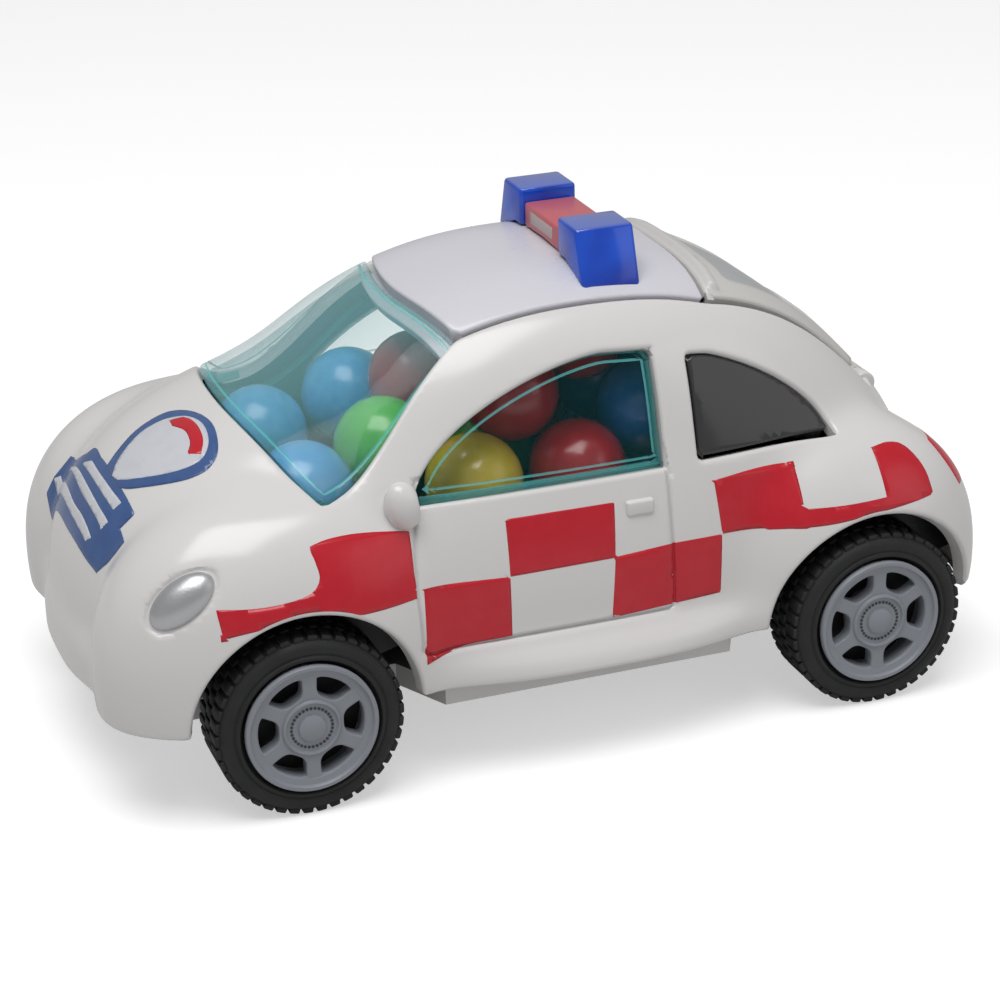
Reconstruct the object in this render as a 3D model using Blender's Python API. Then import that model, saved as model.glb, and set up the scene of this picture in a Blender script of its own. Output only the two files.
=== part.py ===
"""A candy-filled toy car: a moulded two-tone body on a chassis with four free-rolling wheels.

Metres, +Z up, nose toward -X, the floor at z = 0. The body is described once, as a smooth
union of rounded lobes, and every moulding that follows it is a layer of that same form.
"""
import itertools
import math

import bmesh
import bpy
import numpy as np
from mathutils import Matrix, Vector

MM = 0.001

# Stance
WHEELBASE = 74.0 * MM
HALF_TRACK = 31.5 * MM            # centre line to the outer face of a wheel
TYRE_RADIUS = 11.6 * MM
TYRE_WIDTH = 9.0 * MM
RIM_RADIUS = 8.1 * MM
SPOKES = 6
SPOKE_WIDTH = 1.95 * MM
HUB_RADIUS = 3.4 * MM
RIM_BAND = 1.45 * MM              # width of the flat ring outside the spokes
RIM_LIP = 0.75 * MM               # thickness of the lip in front of the tyre's bead
AXLE_RADIUS = 1.0 * MM
FRONT_OVERHANG = 23.1 * MM        # axle to the nose of the hull
REAR_OVERHANG = 19.3 * MM

# Body form
HULL_WIDTH = 57.2 * MM
HULL_TOP = 46.0 * MM
HULL_MIDDLE = 13.8 * MM           # height at which the hull is widest
HULL_TAIL = 4.0 * MM              # hull's tail ahead of the rear bumper's face
CABIN_LENGTH = 86.0 * MM
CABIN_WIDTH = 50.8 * MM
CABIN_SETBACK = 3.5 * MM          # cabin middle behind the middle of the wheelbase
CABIN_MIDDLE = 19.6 * MM
ROOF_HEIGHT = 56.8 * MM
FENDER_PROUD = 0.9 * MM           # fender beyond the outer face of the wheels
FENDER_DEPTH = 12.2 * MM
FRONT_FENDER_REACH = 22.0 * MM
FRONT_FENDER_TOP = 37.4 * MM
REAR_FENDER_REACH = 18.2 * MM
REAR_FENDER_TOP = 35.0 * MM
FENDER_LEAD = 0.8 * MM            # fender middle ahead of its axle
FENDER_MIDDLE = 16.8 * MM
BUMPER_HALF_WIDTH = 28.2 * MM
BUMPER_HEIGHT = 15.2 * MM
BUMPER_MIDDLE = 14.0 * MM
BUMPER_SETBACK = 1.1 * MM         # bumper face behind the very nose of the hull
BUMPER_REACH = 22.7 * MM          # half length of the lobe that carries a bumper
SILL_HALF_WIDTH = 31.3 * MM
SILL_HALF_LENGTH = 33.0 * MM
SILL_HALF_HEIGHT = 6.5 * MM
BODY_HEM = 12.2 * MM              # lower edge of the body above the floor
ARCH_RADIUS = 14.4 * MM
BLEND = 0.05                      # softness of the valleys between lobes

# Roundness of each lobe: exponent in side view, exponent across
HULL_ROUND = (2.9, 2.8)
CABIN_ROUND = (2.25, 3.3)
FRONT_FENDER_ROUND = (2.3, 2.2)
REAR_FENDER_ROUND = (2.2, 2.2)
BUMPER_ROUND = (3.0, 2.6)
SILL_ROUND = (4.0, 2.6)

# Moulding walls and fits
WALL = 1.4 * MM
LINING_WALL = 1.0 * MM
CLEARANCE = 0.4 * MM
EDGE_GAP = 0.35 * MM

# Openings, in side view and in plan
BELT_LINE = 34.8 * MM
WINDOW_LENGTH = 31.9 * MM
WINDOW_HEADROOM = 7.8 * MM        # door window's highest point below the roof
WINDOW_CROWN_BACK = 6.3 * MM      # highest point ahead of the window's rear edge
WINDOW_ARC = 1.6                  # exponent of its falling arc
WINDOW_REAR_DROP = 0.4 * MM       # rear corner below the highest point
DOOR_REAR = 10.3 * MM
PILLAR_WIDTH = 4.3 * MM
QUARTER_LENGTH = 19.0 * MM
QUARTER_HEADROOM = 8.6 * MM
QUARTER_ARC = 1.5
QUARTER_ARC_SPAN = (0.2, 0.97)    # part of the arc that is used
SCREEN_FRONT = 39.0 * MM          # windscreen foot ahead of the wheelbase middle
SCREEN_FOOT_SWEEP = 6.5 * MM
SCREEN_FOOT_BOW = 2.4             # exponent of the foot's bow
SCREEN_FOOT_HALF = 24.6 * MM
SCREEN_TOP = 16.3 * MM
SCREEN_TOP_SWEEP = 3.9 * MM
ROOF_HALF = 16.6 * MM
ROOF_REAR = 19.8 * MM
FLANGE = 1.6 * MM
HATCH_SIDE_GAP = 0.8 * MM
HATCH_REAR = 44.6 * MM
HATCH_REAR_HALF = 12.6 * MM
RIDGE_HEIGHT = 0.7 * MM
RIDGE_WIDTH = 1.5 * MM
RIDGE_HALF = 14.6 * MM
REAR_GLASS_START = 4.5 * MM       # from the hatch's front edge
REAR_GLASS_FRONT_HALF = 11.7 * MM
REAR_GLASS_REAR_HALF = 9.1 * MM
REAR_GLASS_END = 6.0 * MM         # ahead of the hinge
REAR_GLASS_DEPTH = 0.5 * MM

# Hatch hinge
HINGE_RADIUS = 1.5 * MM
HINGE_PIN_RADIUS = 0.6 * MM
HINGE_HALF = 8.0 * MM
HINGE_LUG = 2.4 * MM

# Inner tub, chassis and what holds them
TUB_FLOOR = 14.5 * MM
TUB_FRONT = 46.0 * MM
TUB_REAR = 45.0 * MM
WELL_INNER = 19.2 * MM            # centre line to a wheel well's inner wall
CHASSIS_UNDERSIDE = 8.6 * MM
CHASSIS_PLATE = 1.4 * MM
CHASSIS_HALF = 26.0 * MM
CHASSIS_WAIST = 18.4 * MM
CHASSIS_FRONT = 53.6 * MM
CHASSIS_REAR = 52.4 * MM
CHASSIS_NOSE_HALF = 11.0 * MM
CHASSIS_TAPER = 0.55 * MM         # how much narrower the corners are than the waist
SADDLE_LENGTH = 8.0 * MM
SADDLE_WIDTH = 5.7 * MM
SADDLE_MARGIN = 1.3 * MM          # chassis waist to the saddle's outer face
BOSS_RADIUS = 2.6 * MM
SCREW_RADIUS = 1.0 * MM
SCREW_HEAD_RADIUS = 2.0 * MM
SCREW_LENGTH = 7.0 * MM

# Trim
HEADLIGHT_LENGTH = 8.6 * MM
HEADLIGHT_HEIGHT = 6.2 * MM
HEADLIGHT_DEPTH = 4.6 * MM
HEADLIGHT_LEAD = 13.6 * MM        # ahead of the front axle
HEADLIGHT_DROP = 7.9 * MM         # below the fender's top
HEADLIGHT_SUNK = 1.3 * MM         # middle below the skin
MIRROR_LENGTH = 4.6 * MM
MIRROR_HEIGHT = 6.0 * MM
HANDLE_LENGTH = 3.6 * MM
HANDLE_HEIGHT = 1.9 * MM
HANDLE_PROUD = 0.5 * MM
SEAM_WIDTH = 0.5 * MM
SEAM_DEPTH = 0.45 * MM
DOOR_FRONT = -22.3 * MM           # front seam of the door, ahead of the wheelbase middle
DOOR_FOOT = 17.4 * MM
BAR_RISE = 4.8 * MM               # lens tops above the roof
BAR_LENGTH = 7.6 * MM
BAR_SETBACK = 4.1 * MM
BAR_HALF = 6.0 * MM
LENS_TOP_WIDTH = 6.4 * MM
LENS_FOOT_SPREAD = 3.4 * MM
CENTRE_DROP = 1.6 * MM

# Sweets
CANDY_DIAMETER = 12.4 * MM
CANDY_GAP = 0.08 * MM
SEEN_SWEETS = (                   # sweets that show through the glass, from the wheelbase middle
    ("blue", (-28.4 * MM, -7.6 * MM, 35.0 * MM)),
    ("green", (-23.7 * MM, -12.5 * MM, 33.7 * MM)),
    ("green", (-16.3 * MM, -15.1 * MM, 32.4 * MM)),
    ("yellow", (-11.9 * MM, -15.5 * MM, 32.2 * MM)),
    ("red", (-15.8 * MM, -7.1 * MM, 42.9 * MM)),
    ("red", (0.6 * MM, -14.7 * MM, 37.8 * MM)),
    ("deep_blue", (8.5 * MM, -13.0 * MM, 41.9 * MM)),
    ("blue", (-18.0 * MM, 12.9 * MM, 40.5 * MM)),
)

# Facets
STATIONS = 30
FACETS_AROUND = 28
WHEEL_FACETS = 20
BORE_FACETS = 12

FRONT_AXLE = -WHEELBASE / 2
REAR_AXLE = WHEELBASE / 2
AXLE_HEIGHT = TYRE_RADIUS
WINDOW_CROWN = ROOF_HEIGHT - WINDOW_HEADROOM - BELT_LINE
QUARTER_CROWN = ROOF_HEIGHT - QUARTER_HEADROOM - BELT_LINE
SCREEN_TOP_HALF = ROOF_HALF + FLANGE
BAR_TOP = ROOF_HEIGHT + BAR_RISE
LINING = WALL + CLEARANCE         # depth at which the second layer begins
LINING_INSIDE = LINING + LINING_WALL
THIN = 0.1 * MM                   # a lobe drawn in past its middle keeps this half size

parts = None
cutters = None


def clear_scene():
    for item in list(bpy.data.objects):
        bpy.data.objects.remove(item, do_unlink=True)
    for name in ("candy_car", "candy_car_cutters"):
        group = bpy.data.collections.new(name)
        bpy.context.scene.collection.children.link(group)
    return bpy.data.collections["candy_car"], bpy.data.collections["candy_car_cutters"]


def material(name, hex_colour, roughness=0.35, metallic=0.0, clear=0.0):
    """A Principled material from an sRGB colour."""
    made = bpy.data.materials.new(name)
    made.use_nodes = True
    shader = made.node_tree.nodes["Principled BSDF"]
    channels = [int(hex_colour[i:i + 2], 16) / 255 for i in (0, 2, 4)]
    linear = [c / 12.92 if c <= 0.04045 else ((c + 0.055) / 1.055) ** 2.4 for c in channels]
    shader.inputs["Base Color"].default_value = (*linear, 1.0)
    shader.inputs["Roughness"].default_value = roughness
    shader.inputs["Metallic"].default_value = metallic
    shader.inputs["Transmission Weight"].default_value = clear
    return made


def add_object(name, mesh, finish=None, group=None):
    item = bpy.data.objects.new(name, mesh)
    (group or parts).objects.link(item)
    if finish:
        mesh.materials.append(finish)
    return item


def as_cutter(item):
    item.hide_render = True
    item.display_type = "WIRE"
    return item


def shade_round(mesh, degrees=35):
    mesh.shade_smooth()
    mesh.set_sharp_from_angle(angle=math.radians(degrees))


def boolean(target, tool, operation):
    step = target.modifiers.new(f"{operation.lower()} {tool.name}", "BOOLEAN")
    step.operation = operation
    step.object = tool
    step.solver = "EXACT"
    return target


def cut(target, *tools):
    for tool in tools:
        boolean(target, tool, "DIFFERENCE")
    return target


def keep_within(target, tool):
    return boolean(target, tool, "INTERSECT")


def join(target, *tools):
    for tool in tools:
        boolean(target, tool, "UNION")
    return target


# Body form: lobes, each a rounded box with one exponent along and one across

def body_lobes():
    """Centre, half sizes and roundness of each lobe."""
    nose = FRONT_AXLE - FRONT_OVERHANG
    tail = REAR_AXLE + REAR_OVERHANG
    side = HALF_TRACK + FENDER_PROUD - FENDER_DEPTH
    bumper_half = BUMPER_HEIGHT / 2
    hull_half = (tail - HULL_TAIL - nose) / 2
    return (
        ((nose + hull_half, 0, HULL_MIDDLE), (hull_half, HULL_WIDTH / 2, HULL_TOP - HULL_MIDDLE), HULL_ROUND),
        ((CABIN_SETBACK, 0, CABIN_MIDDLE), (CABIN_LENGTH / 2, CABIN_WIDTH / 2, ROOF_HEIGHT - CABIN_MIDDLE),
         CABIN_ROUND),
        ((FRONT_AXLE - FENDER_LEAD, side, FENDER_MIDDLE),
         (FRONT_FENDER_REACH, FENDER_DEPTH, FRONT_FENDER_TOP - FENDER_MIDDLE), FRONT_FENDER_ROUND),
        ((REAR_AXLE - FENDER_LEAD, side, FENDER_MIDDLE),
         (REAR_FENDER_REACH, FENDER_DEPTH, REAR_FENDER_TOP - FENDER_MIDDLE), REAR_FENDER_ROUND),
        ((nose + BUMPER_SETBACK + BUMPER_REACH, 0, BUMPER_MIDDLE), (BUMPER_REACH, BUMPER_HALF_WIDTH, bumper_half),
         BUMPER_ROUND),
        ((tail - BUMPER_REACH, 0, BUMPER_MIDDLE), (BUMPER_REACH, BUMPER_HALF_WIDTH, bumper_half), BUMPER_ROUND),
        ((FENDER_LEAD, 0, BODY_HEM), (SILL_HALF_LENGTH, SILL_HALF_WIDTH, SILL_HALF_HEIGHT), SILL_ROUND),
    )


def form(x, y, z, depth=0.0):
    """Less than 1 inside the body form drawn in by depth, more outside."""
    total = 0.0
    for (cx, cy, cz), (a, b, c), (along, across) in body_lobes():
        u = np.abs(x - cx) / max(a - depth, THIN)
        v = np.abs(np.abs(y) - cy) / max(b - depth, THIN)
        w = np.abs(z - cz) / max(c - depth, THIN)
        lobe = ((u ** along + w ** along) ** (across / along) + v ** across) ** (1 / across)
        total = total + np.exp(-lobe / BLEND)
    return -BLEND * np.log(total)


def form_height(x, y, depth=0.0):
    """Height of the body form above a point of the plan."""
    low, high = 0.5 * BELT_LINE, 2 * ROOF_HEIGHT
    for _ in range(40):
        middle = (low + high) / 2
        if form(x, y, middle, depth) < 1:
            low = middle
        else:
            high = middle
    return (low + high) / 2


def form_side(x, z, depth=0.0):
    """Half width of the body form at a point of the side view."""
    low, high = 0.0, 2 * HALF_TRACK
    for _ in range(40):
        middle = (low + high) / 2
        if form(x, middle, z, depth) < 1:
            low = middle
        else:
            high = middle
    return (low + high) / 2


def skin_points(depth):
    """Rings of points on the form from nose to tail, each ring a loop round the long axis."""
    middle = (FRONT_AXLE - FRONT_OVERHANG + REAR_AXLE + REAR_OVERHANG) / 2
    heart = 1.3 * HULL_MIDDLE
    reach = 0.4 * WHEELBASE
    swing = (np.arange(1, STATIONS) / STATIONS * math.pi)[:, None]
    turn = (np.arange(FACETS_AROUND) / FACETS_AROUND * 2 * math.pi)[None, :]
    start = middle - reach * np.cos(swing)
    ray = (-np.cos(swing) + 0 * turn, np.sin(swing) * np.cos(turn), np.sin(swing) * np.sin(turn))
    low, high = np.zeros(ray[0].shape), np.full(ray[0].shape, 1.2 * WHEELBASE)
    for _ in range(40):
        half = (low + high) / 2
        inside = form(start + half * ray[0], half * ray[1], heart + half * ray[2], depth) < 1
        low = np.where(inside, half, low)
        high = np.where(inside, high, half)
    rings = np.stack([start + low * ray[0], low * ray[1], heart + low * ray[2]], -1)
    ends = []
    for side in (-1, 1):
        low, high = 0.0, 1.2 * WHEELBASE
        for _ in range(40):
            half = (low + high) / 2
            if form(middle + side * (reach + half), 0.0, heart, depth) < 1:
                low = half
            else:
                high = half
        ends.append((middle + side * (reach + low), 0.0, heart))
    return rings, ends


def add_skin(mesh, depth, outward=True):
    """The body form drawn in by depth, as one closed surface."""
    rings, ends = skin_points(depth)
    loops = [[mesh.verts.new(Vector(point)) for point in ring] for ring in rings]
    nose, tail = (mesh.verts.new(Vector(point)) for point in ends)
    count = FACETS_AROUND
    faces = []
    for first, second in zip(loops[:-1], loops[1:]):
        for i in range(count):
            j = (i + 1) % count
            faces.append((first[i], second[i], second[j], first[j]))
    for i in range(count):
        j = (i + 1) % count
        faces.append((nose, loops[0][i], loops[0][j]))
        faces.append((tail, loops[-1][j], loops[-1][i]))
    for corners in faces:
        mesh.faces.new(corners if not outward else corners[::-1])


def layer(name, outer_depth, inner_depth=None, finish=None):
    """The space between two depths of the body form, or all of it within one depth."""
    shape = bmesh.new()
    add_skin(shape, outer_depth)
    if inner_depth is not None:
        add_skin(shape, inner_depth, outward=False)
    bmesh.ops.triangulate(shape, faces=shape.faces)
    mesh = bpy.data.meshes.new(name)
    shape.to_mesh(mesh)
    shape.free()
    if mesh_volume(mesh) < 0:
        mesh.flip_normals()
    shade_round(mesh, 40)
    item = add_object(name, mesh, finish, None if finish else cutters)
    return item if finish else as_cutter(item)


def mesh_volume(mesh):
    shape = bmesh.new()
    shape.from_mesh(mesh)
    volume = shape.calc_volume(signed=True)
    shape.free()
    return volume


# Outlines and blocks

def grown(points, distance):
    """The outline moved outward by a distance, corner by corner."""
    count = len(points)
    area = sum(points[i][0] * points[(i + 1) % count][1] - points[(i + 1) % count][0] * points[i][1]
               for i in range(count))
    way = 1 if area > 0 else -1
    result = []
    for i in range(count):
        before, here, after = (Vector(points[k % count]) for k in (i - 1, i, i + 1))
        a = (here - before).normalized()
        b = (after - here).normalized()
        bisector = Vector((a.y + b.y, -a.x - b.x)) * way
        bisector.normalize()
        lean = max(0.5, bisector.dot(Vector((a.y, -a.x)) * way))
        moved = here + bisector * distance / lean
        result.append((moved.x, moved.y))
    return result


def slab(name, outline, low, high, along="Z", finish=None, holes=()):
    """A flat outline with a thickness: a 2D curve, filled, extruded and turned to a mesh."""
    curve = bpy.data.curves.new(name, "CURVE")
    curve.dimensions = "2D"
    curve.fill_mode = "BOTH"
    curve.extrude = (high - low) / 2
    for loop in (outline, *holes):
        spline = curve.splines.new("POLY")
        spline.points.add(len(loop) - 1)
        for point, (u, v) in zip(spline.points, loop):
            point.co = (u, v, 0, 1)
        spline.use_cyclic_u = True
    drawn = bpy.data.objects.new(name + "_outline", curve)
    cutters.objects.link(drawn)
    bpy.context.view_layer.update()
    mesh = bpy.data.meshes.new_from_object(drawn.evaluated_get(bpy.context.evaluated_depsgraph_get()))
    bpy.data.objects.remove(drawn)
    shape = bmesh.new()
    shape.from_mesh(mesh)
    bmesh.ops.remove_doubles(shape, verts=shape.verts, dist=1e-6)
    middle = (low + high) / 2
    # X: outline in y and z.  Y: outline in x and z.  Z: outline in x and y.
    upright = Matrix.Rotation(math.pi / 2, 4, "X")
    place = {"Z": Matrix.Translation((0, 0, middle)), "Y": Matrix.Translation((0, middle, 0)) @ upright,
             "X": Matrix.Translation((middle, 0, 0)) @ Matrix.Rotation(math.pi / 2, 4, "Z") @ upright}[along]
    bmesh.ops.transform(shape, matrix=place, verts=shape.verts)
    bmesh.ops.recalc_face_normals(shape, faces=shape.faces)
    bmesh.ops.triangulate(shape, faces=shape.faces)
    shape.to_mesh(mesh)
    shape.free()
    mesh.name = name
    item = add_object(name, mesh, finish, None if finish else cutters)
    return item if finish else as_cutter(item)


def block(name, low, high, finish=None):
    """A box between two corners."""
    shape = bmesh.new()
    bmesh.ops.create_cube(shape, size=1.0)
    size = [b - a for a, b in zip(low, high)]
    middle = [(a + b) / 2 for a, b in zip(low, high)]
    place = Matrix.Translation(middle) @ Matrix.Diagonal((*size, 1))
    bmesh.ops.transform(shape, matrix=place, verts=shape.verts)
    mesh = bpy.data.meshes.new(name)
    shape.to_mesh(mesh)
    shape.free()
    item = add_object(name, mesh, finish, None if finish else cutters)
    return item if finish else as_cutter(item)


def rod(name, radius, length, centre, along="Y", facets=24, finish=None):
    """A cylinder along one axis."""
    shape = bmesh.new()
    bmesh.ops.create_cone(shape, cap_ends=True, segments=facets, radius1=radius, radius2=radius, depth=length)
    turn = {"X": Matrix.Rotation(math.pi / 2, 4, "Y"), "Y": Matrix.Rotation(math.pi / 2, 4, "X"),
            "Z": Matrix.Identity(4)}[along]
    bmesh.ops.transform(shape, matrix=turn, verts=shape.verts)
    mesh = bpy.data.meshes.new(name)
    shape.to_mesh(mesh)
    shape.free()
    shade_round(mesh)
    item = add_object(name, mesh, finish, None if finish else cutters)
    item.location = centre
    return item if finish else as_cutter(item)


def ball(name, half_sizes, centre, tilt=(0, 0, 0), facets=20, finish=None):
    """An ellipsoid, its half sizes put into the mesh."""
    shape = bmesh.new()
    bmesh.ops.create_uvsphere(shape, u_segments=facets, v_segments=facets // 2, radius=1.0)
    bmesh.ops.transform(shape, matrix=Matrix.Diagonal((*half_sizes, 1)), verts=shape.verts)
    mesh = bpy.data.meshes.new(name)
    shape.to_mesh(mesh)
    shape.free()
    shade_round(mesh, 60)
    item = add_object(name, mesh, finish, None if finish else cutters)
    item.location = centre
    item.rotation_euler = tilt
    return item if finish else as_cutter(item)


def screen_foot():
    """Near half of the windscreen's bowed foot in plan, from the centre line outward."""
    steps = [i / 6 for i in range(7)]
    return [(-SCREEN_FRONT + SCREEN_FOOT_SWEEP * t ** SCREEN_FOOT_BOW, -SCREEN_FOOT_HALF * t) for t in steps]


def screen_outline():
    """Windscreen in plan: a bowed foot, straight posts and a bowed top."""
    half = SCREEN_TOP_HALF
    return half_loop(screen_foot(), [(screen_top(half * i / 6), -half * i / 6) for i in range(7)])


def half_loop(foot, top):
    """A closed outline from two half curves that both start on the centre line."""
    near = [(u, v) for u, v in foot] + [(u, v) for u, v in reversed(top)]
    far = [(u, -v) for u, v in top[1:]] + [(u, -v) for u, v in reversed(foot[1:])]
    return near + far


def screen_top(across):
    """Front-to-back place of the windscreen's top edge at a distance from the centre line."""
    return -SCREEN_TOP + SCREEN_TOP_SWEEP * (across / SCREEN_TOP_HALF) ** 2


def roof_outline(half=ROOF_HALF, rear=ROOF_REAR):
    """Roof panel in plan, its front edge along the windscreen's top."""
    front = [(screen_top(half * i / 4), -half * i / 4) for i in range(5)]
    return half_loop(front, [(rear, 0), (rear, -half)])


def canopy_outline():
    """Everything the body leaves open on top: windscreen, roof panel and hatch in one."""
    near = screen_foot() + [(screen_top(half), -half) for half in (SCREEN_TOP_HALF, ROOF_HALF)]
    near += [(ROOF_REAR, -ROOF_HALF), (HATCH_REAR, -HATCH_REAR_HALF)]
    return near + [(u, -v) for u, v in reversed(near[1:])]


def hatch_outline():
    """Rear hatch in plan: it narrows rearward and ends in a tongue that carries the hinge barrel."""
    shoulder = HATCH_REAR - HINGE_RADIUS - CLEARANCE
    share = (shoulder - ROOF_REAR) / (HATCH_REAR - ROOF_REAR)
    inset = HATCH_SIDE_GAP - EDGE_GAP
    shoulder_half = ROOF_HALF + share * (HATCH_REAR_HALF - ROOF_HALF)
    near = [(ROOF_REAR, 0), (ROOF_REAR, inset - ROOF_HALF), (shoulder, inset - shoulder_half),
            (shoulder, -HINGE_HALF - EDGE_GAP), (HATCH_REAR, -HINGE_HALF - EDGE_GAP)]
    return near + [(u, -v) for u, v in reversed(near[1:])]


def door_window_outline():
    """Door window in side view: a flat sill, an upright rear edge and a long falling arc."""
    reach = WINDOW_LENGTH - WINDOW_CROWN_BACK
    arc = []
    for i in range(9):
        t = i / 8 * math.pi / 2
        u = DOOR_REAR - WINDOW_CROWN_BACK - reach * math.sin(t) ** (2 / WINDOW_ARC)
        v = BELT_LINE + WINDOW_CROWN * math.cos(t) ** (2 / WINDOW_ARC)
        arc.append((u, v))
    return [(DOOR_REAR, BELT_LINE), (DOOR_REAR, BELT_LINE + WINDOW_CROWN - WINDOW_REAR_DROP)] + arc


def quarter_outline():
    """Quarter window in side view: an upright front edge and a falling arc to a point."""
    front = DOOR_REAR + PILLAR_WIDTH
    arc = []
    start, end = QUARTER_ARC_SPAN
    for i in range(7):
        t = (start + (end - start) * i / 6) * math.pi / 2
        u = front - 0.14 * QUARTER_LENGTH + 1.16 * QUARTER_LENGTH * math.sin(t) ** (2 / QUARTER_ARC)
        v = BELT_LINE + QUARTER_CROWN * math.cos(t) ** (2 / QUARTER_ARC)
        arc.append((u, v))
    return [(front, BELT_LINE)] + [(front, arc[0][1])] + arc[1:] + [(arc[-1][0], BELT_LINE)]


# Body shell

FAR = 3 * HALF_TRACK              # beyond the car on every side


def arch_rods(radius, inner=0.0):
    """Rods across the car on both axles, or pairs of rods that stop short of the middle."""
    rods = []
    for end, axle in (("front", FRONT_AXLE), ("rear", REAR_AXLE)):
        if not inner:
            rods.append(rod(f"arch_{end}", radius, 2 * FAR, (axle, 0, AXLE_HEIGHT), facets=32))
            continue
        for side, sign in (("left", -1), ("right", 1)):
            rods.append(rod(f"well_{end}_{side}", radius, FAR, (axle, sign * (inner + FAR / 2), AXLE_HEIGHT),
                            facets=32))
    return rods


def hinge_centre():
    """Middle of the hatch hinge, one barrel radius under the skin at the hatch's rear edge."""
    return HATCH_REAR, form_height(HATCH_REAR, 0, HINGE_RADIUS)


def boss_places():
    return (TUB_FRONT + BOSS_RADIUS + CLEARANCE) * -1, TUB_REAR + BOSS_RADIUS + CLEARANCE


def boss_foot():
    """Height at which the body's bosses meet the pads of the chassis."""
    return CHASSIS_UNDERSIDE + 2 * CHASSIS_PLATE + SCREW_RADIUS


def make_body_shell(finish):
    shell = layer("body_shell", 0, WALL, finish)
    cut(shell, block("below_hem", (-FAR, -FAR, -FAR), (FAR, FAR, BODY_HEM)))
    cut(shell, *arch_rods(ARCH_RADIUS))
    window = slab("door_window", door_window_outline(), -FAR, FAR, "Y")
    quarter = slab("quarter_window", quarter_outline(), -FAR, FAR, "Y")
    canopy = slab("canopy", canopy_outline(), 0.8 * BELT_LINE, 2 * ROOF_HEIGHT)
    x, z = hinge_centre()
    slot_half = HINGE_HALF + CLEARANCE
    slot = block("hinge_slot", (x - HINGE_RADIUS, -slot_half, z - 2 * HINGE_RADIUS),
                 (x + HINGE_RADIUS + CLEARANCE, slot_half, z + 3 * HINGE_RADIUS))
    cut(shell, window, quarter, canopy, slot)
    for side, sign in (("left", -1), ("right", 1)):
        join(shell, make_mirror(side, sign), make_handle(side, sign), make_hinge_lug(side, sign, x, z))
    for place, end in zip(boss_places(), ("front", "rear")):
        outer_edge = place + math.copysign(BOSS_RADIUS, place)
        top = form_height(outer_edge, 0, WALL / 2)
        foot = boss_foot() + CLEARANCE
        join(shell, rod(f"boss_{end}", BOSS_RADIUS, top - foot, (place, 0, (top + foot) / 2), "Z", 16))
        cut(shell, rod(f"pilot_{end}", SCREW_RADIUS + CLEARANCE, SCREW_LENGTH, (place, 0, foot), "Z",
                       BORE_FACETS))
    cut(shell, rod("hinge_bore", HINGE_PIN_RADIUS + CLEARANCE, 2 * (slot_half + 0.7 * HINGE_LUG), (x, 0, z),
                   facets=BORE_FACETS))
    for side, sign in (("left", -1), ("right", 1)):
        cut(shell, make_headlight(side, sign, None, CLEARANCE))
    seam = slab("door_seam", door_seam_outline(), -FAR, FAR, "Y")
    return cut(shell, cut(seam, layer("seam_bed", SEAM_DEPTH)))


def door_seam_outline():
    """The door's shut line in side view: down the front, along the foot and up the rear edge."""
    front_top = (DOOR_REAR - WINDOW_LENGTH + 0.5 * SEAM_WIDTH, BELT_LINE - 2 * SEAM_WIDTH)
    line = [front_top, (DOOR_FRONT - SEAM_WIDTH, 0.5 * (BELT_LINE + DOOR_FOOT)), (DOOR_FRONT, DOOR_FOOT),
            (DOOR_REAR, DOOR_FOOT), (DOOR_REAR, BELT_LINE - 2 * SEAM_WIDTH)]
    inner = [(front_top[0] + SEAM_WIDTH, front_top[1]), (line[1][0] + SEAM_WIDTH, line[1][1]),
             (DOOR_FRONT + SEAM_WIDTH, DOOR_FOOT + SEAM_WIDTH), (DOOR_REAR - SEAM_WIDTH, DOOR_FOOT + SEAM_WIDTH),
             (DOOR_REAR - SEAM_WIDTH, line[-1][1])]
    return line + inner[::-1]


def make_mirror(side, sign):
    x = DOOR_REAR - WINDOW_LENGTH - 0.3 * MIRROR_LENGTH
    z = BELT_LINE + 0.1 * MIRROR_HEIGHT
    y = form_side(x, z) + 0.2 * MIRROR_LENGTH
    return ball(f"mirror_{side}", (MIRROR_LENGTH / 2, 0.42 * MIRROR_LENGTH, MIRROR_HEIGHT / 2), (x, sign * y, z),
                facets=12)


def make_handle(side, sign):
    rear = DOOR_REAR - 0.65 * HANDLE_LENGTH
    top = BELT_LINE - 1.6 * HANDLE_HEIGHT
    skin = form_side(rear - HANDLE_LENGTH / 2, top - HANDLE_HEIGHT / 2)
    across = sorted((sign * (skin - WALL / 2), sign * (skin + HANDLE_PROUD)))
    return block(f"handle_{side}", (rear - HANDLE_LENGTH, across[0], top - HANDLE_HEIGHT), (rear, across[1], top))


def make_hinge_lug(side, sign, x, z):
    middle = HINGE_HALF + CLEARANCE + HINGE_LUG / 2
    return rod(f"hinge_lug_{side}", HINGE_RADIUS, HINGE_LUG, (x, sign * middle, z), facets=BORE_FACETS)


def make_headlight(side, sign, finish, grown_by=0.0):
    """A flattened plug with a domed face, leaning back with the fender."""
    x = FRONT_AXLE - HEADLIGHT_LEAD
    z = FRONT_FENDER_TOP - HEADLIGHT_DROP
    y = form_side(x, z) - HEADLIGHT_SUNK
    half = (HEADLIGHT_LENGTH / 2 + grown_by, HEADLIGHT_DEPTH / 2 + grown_by, HEADLIGHT_HEIGHT / 2 + grown_by)
    name = f"headlight_{side}" if finish else f"headlight_seat_{side}"
    lean = (sign * math.radians(-24), math.radians(-20), sign * math.radians(-34))
    return ball(name, half, (x, sign * y, z), lean, 14, finish)


# Glazing, roof and hatch

def roof_flange_outline():
    """The roof panel's hidden flange in plan: wider than the panel, and reaching under the hatch."""
    return roof_outline(ROOF_HALF + FLANGE, ROOF_REAR + FLANGE)


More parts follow.
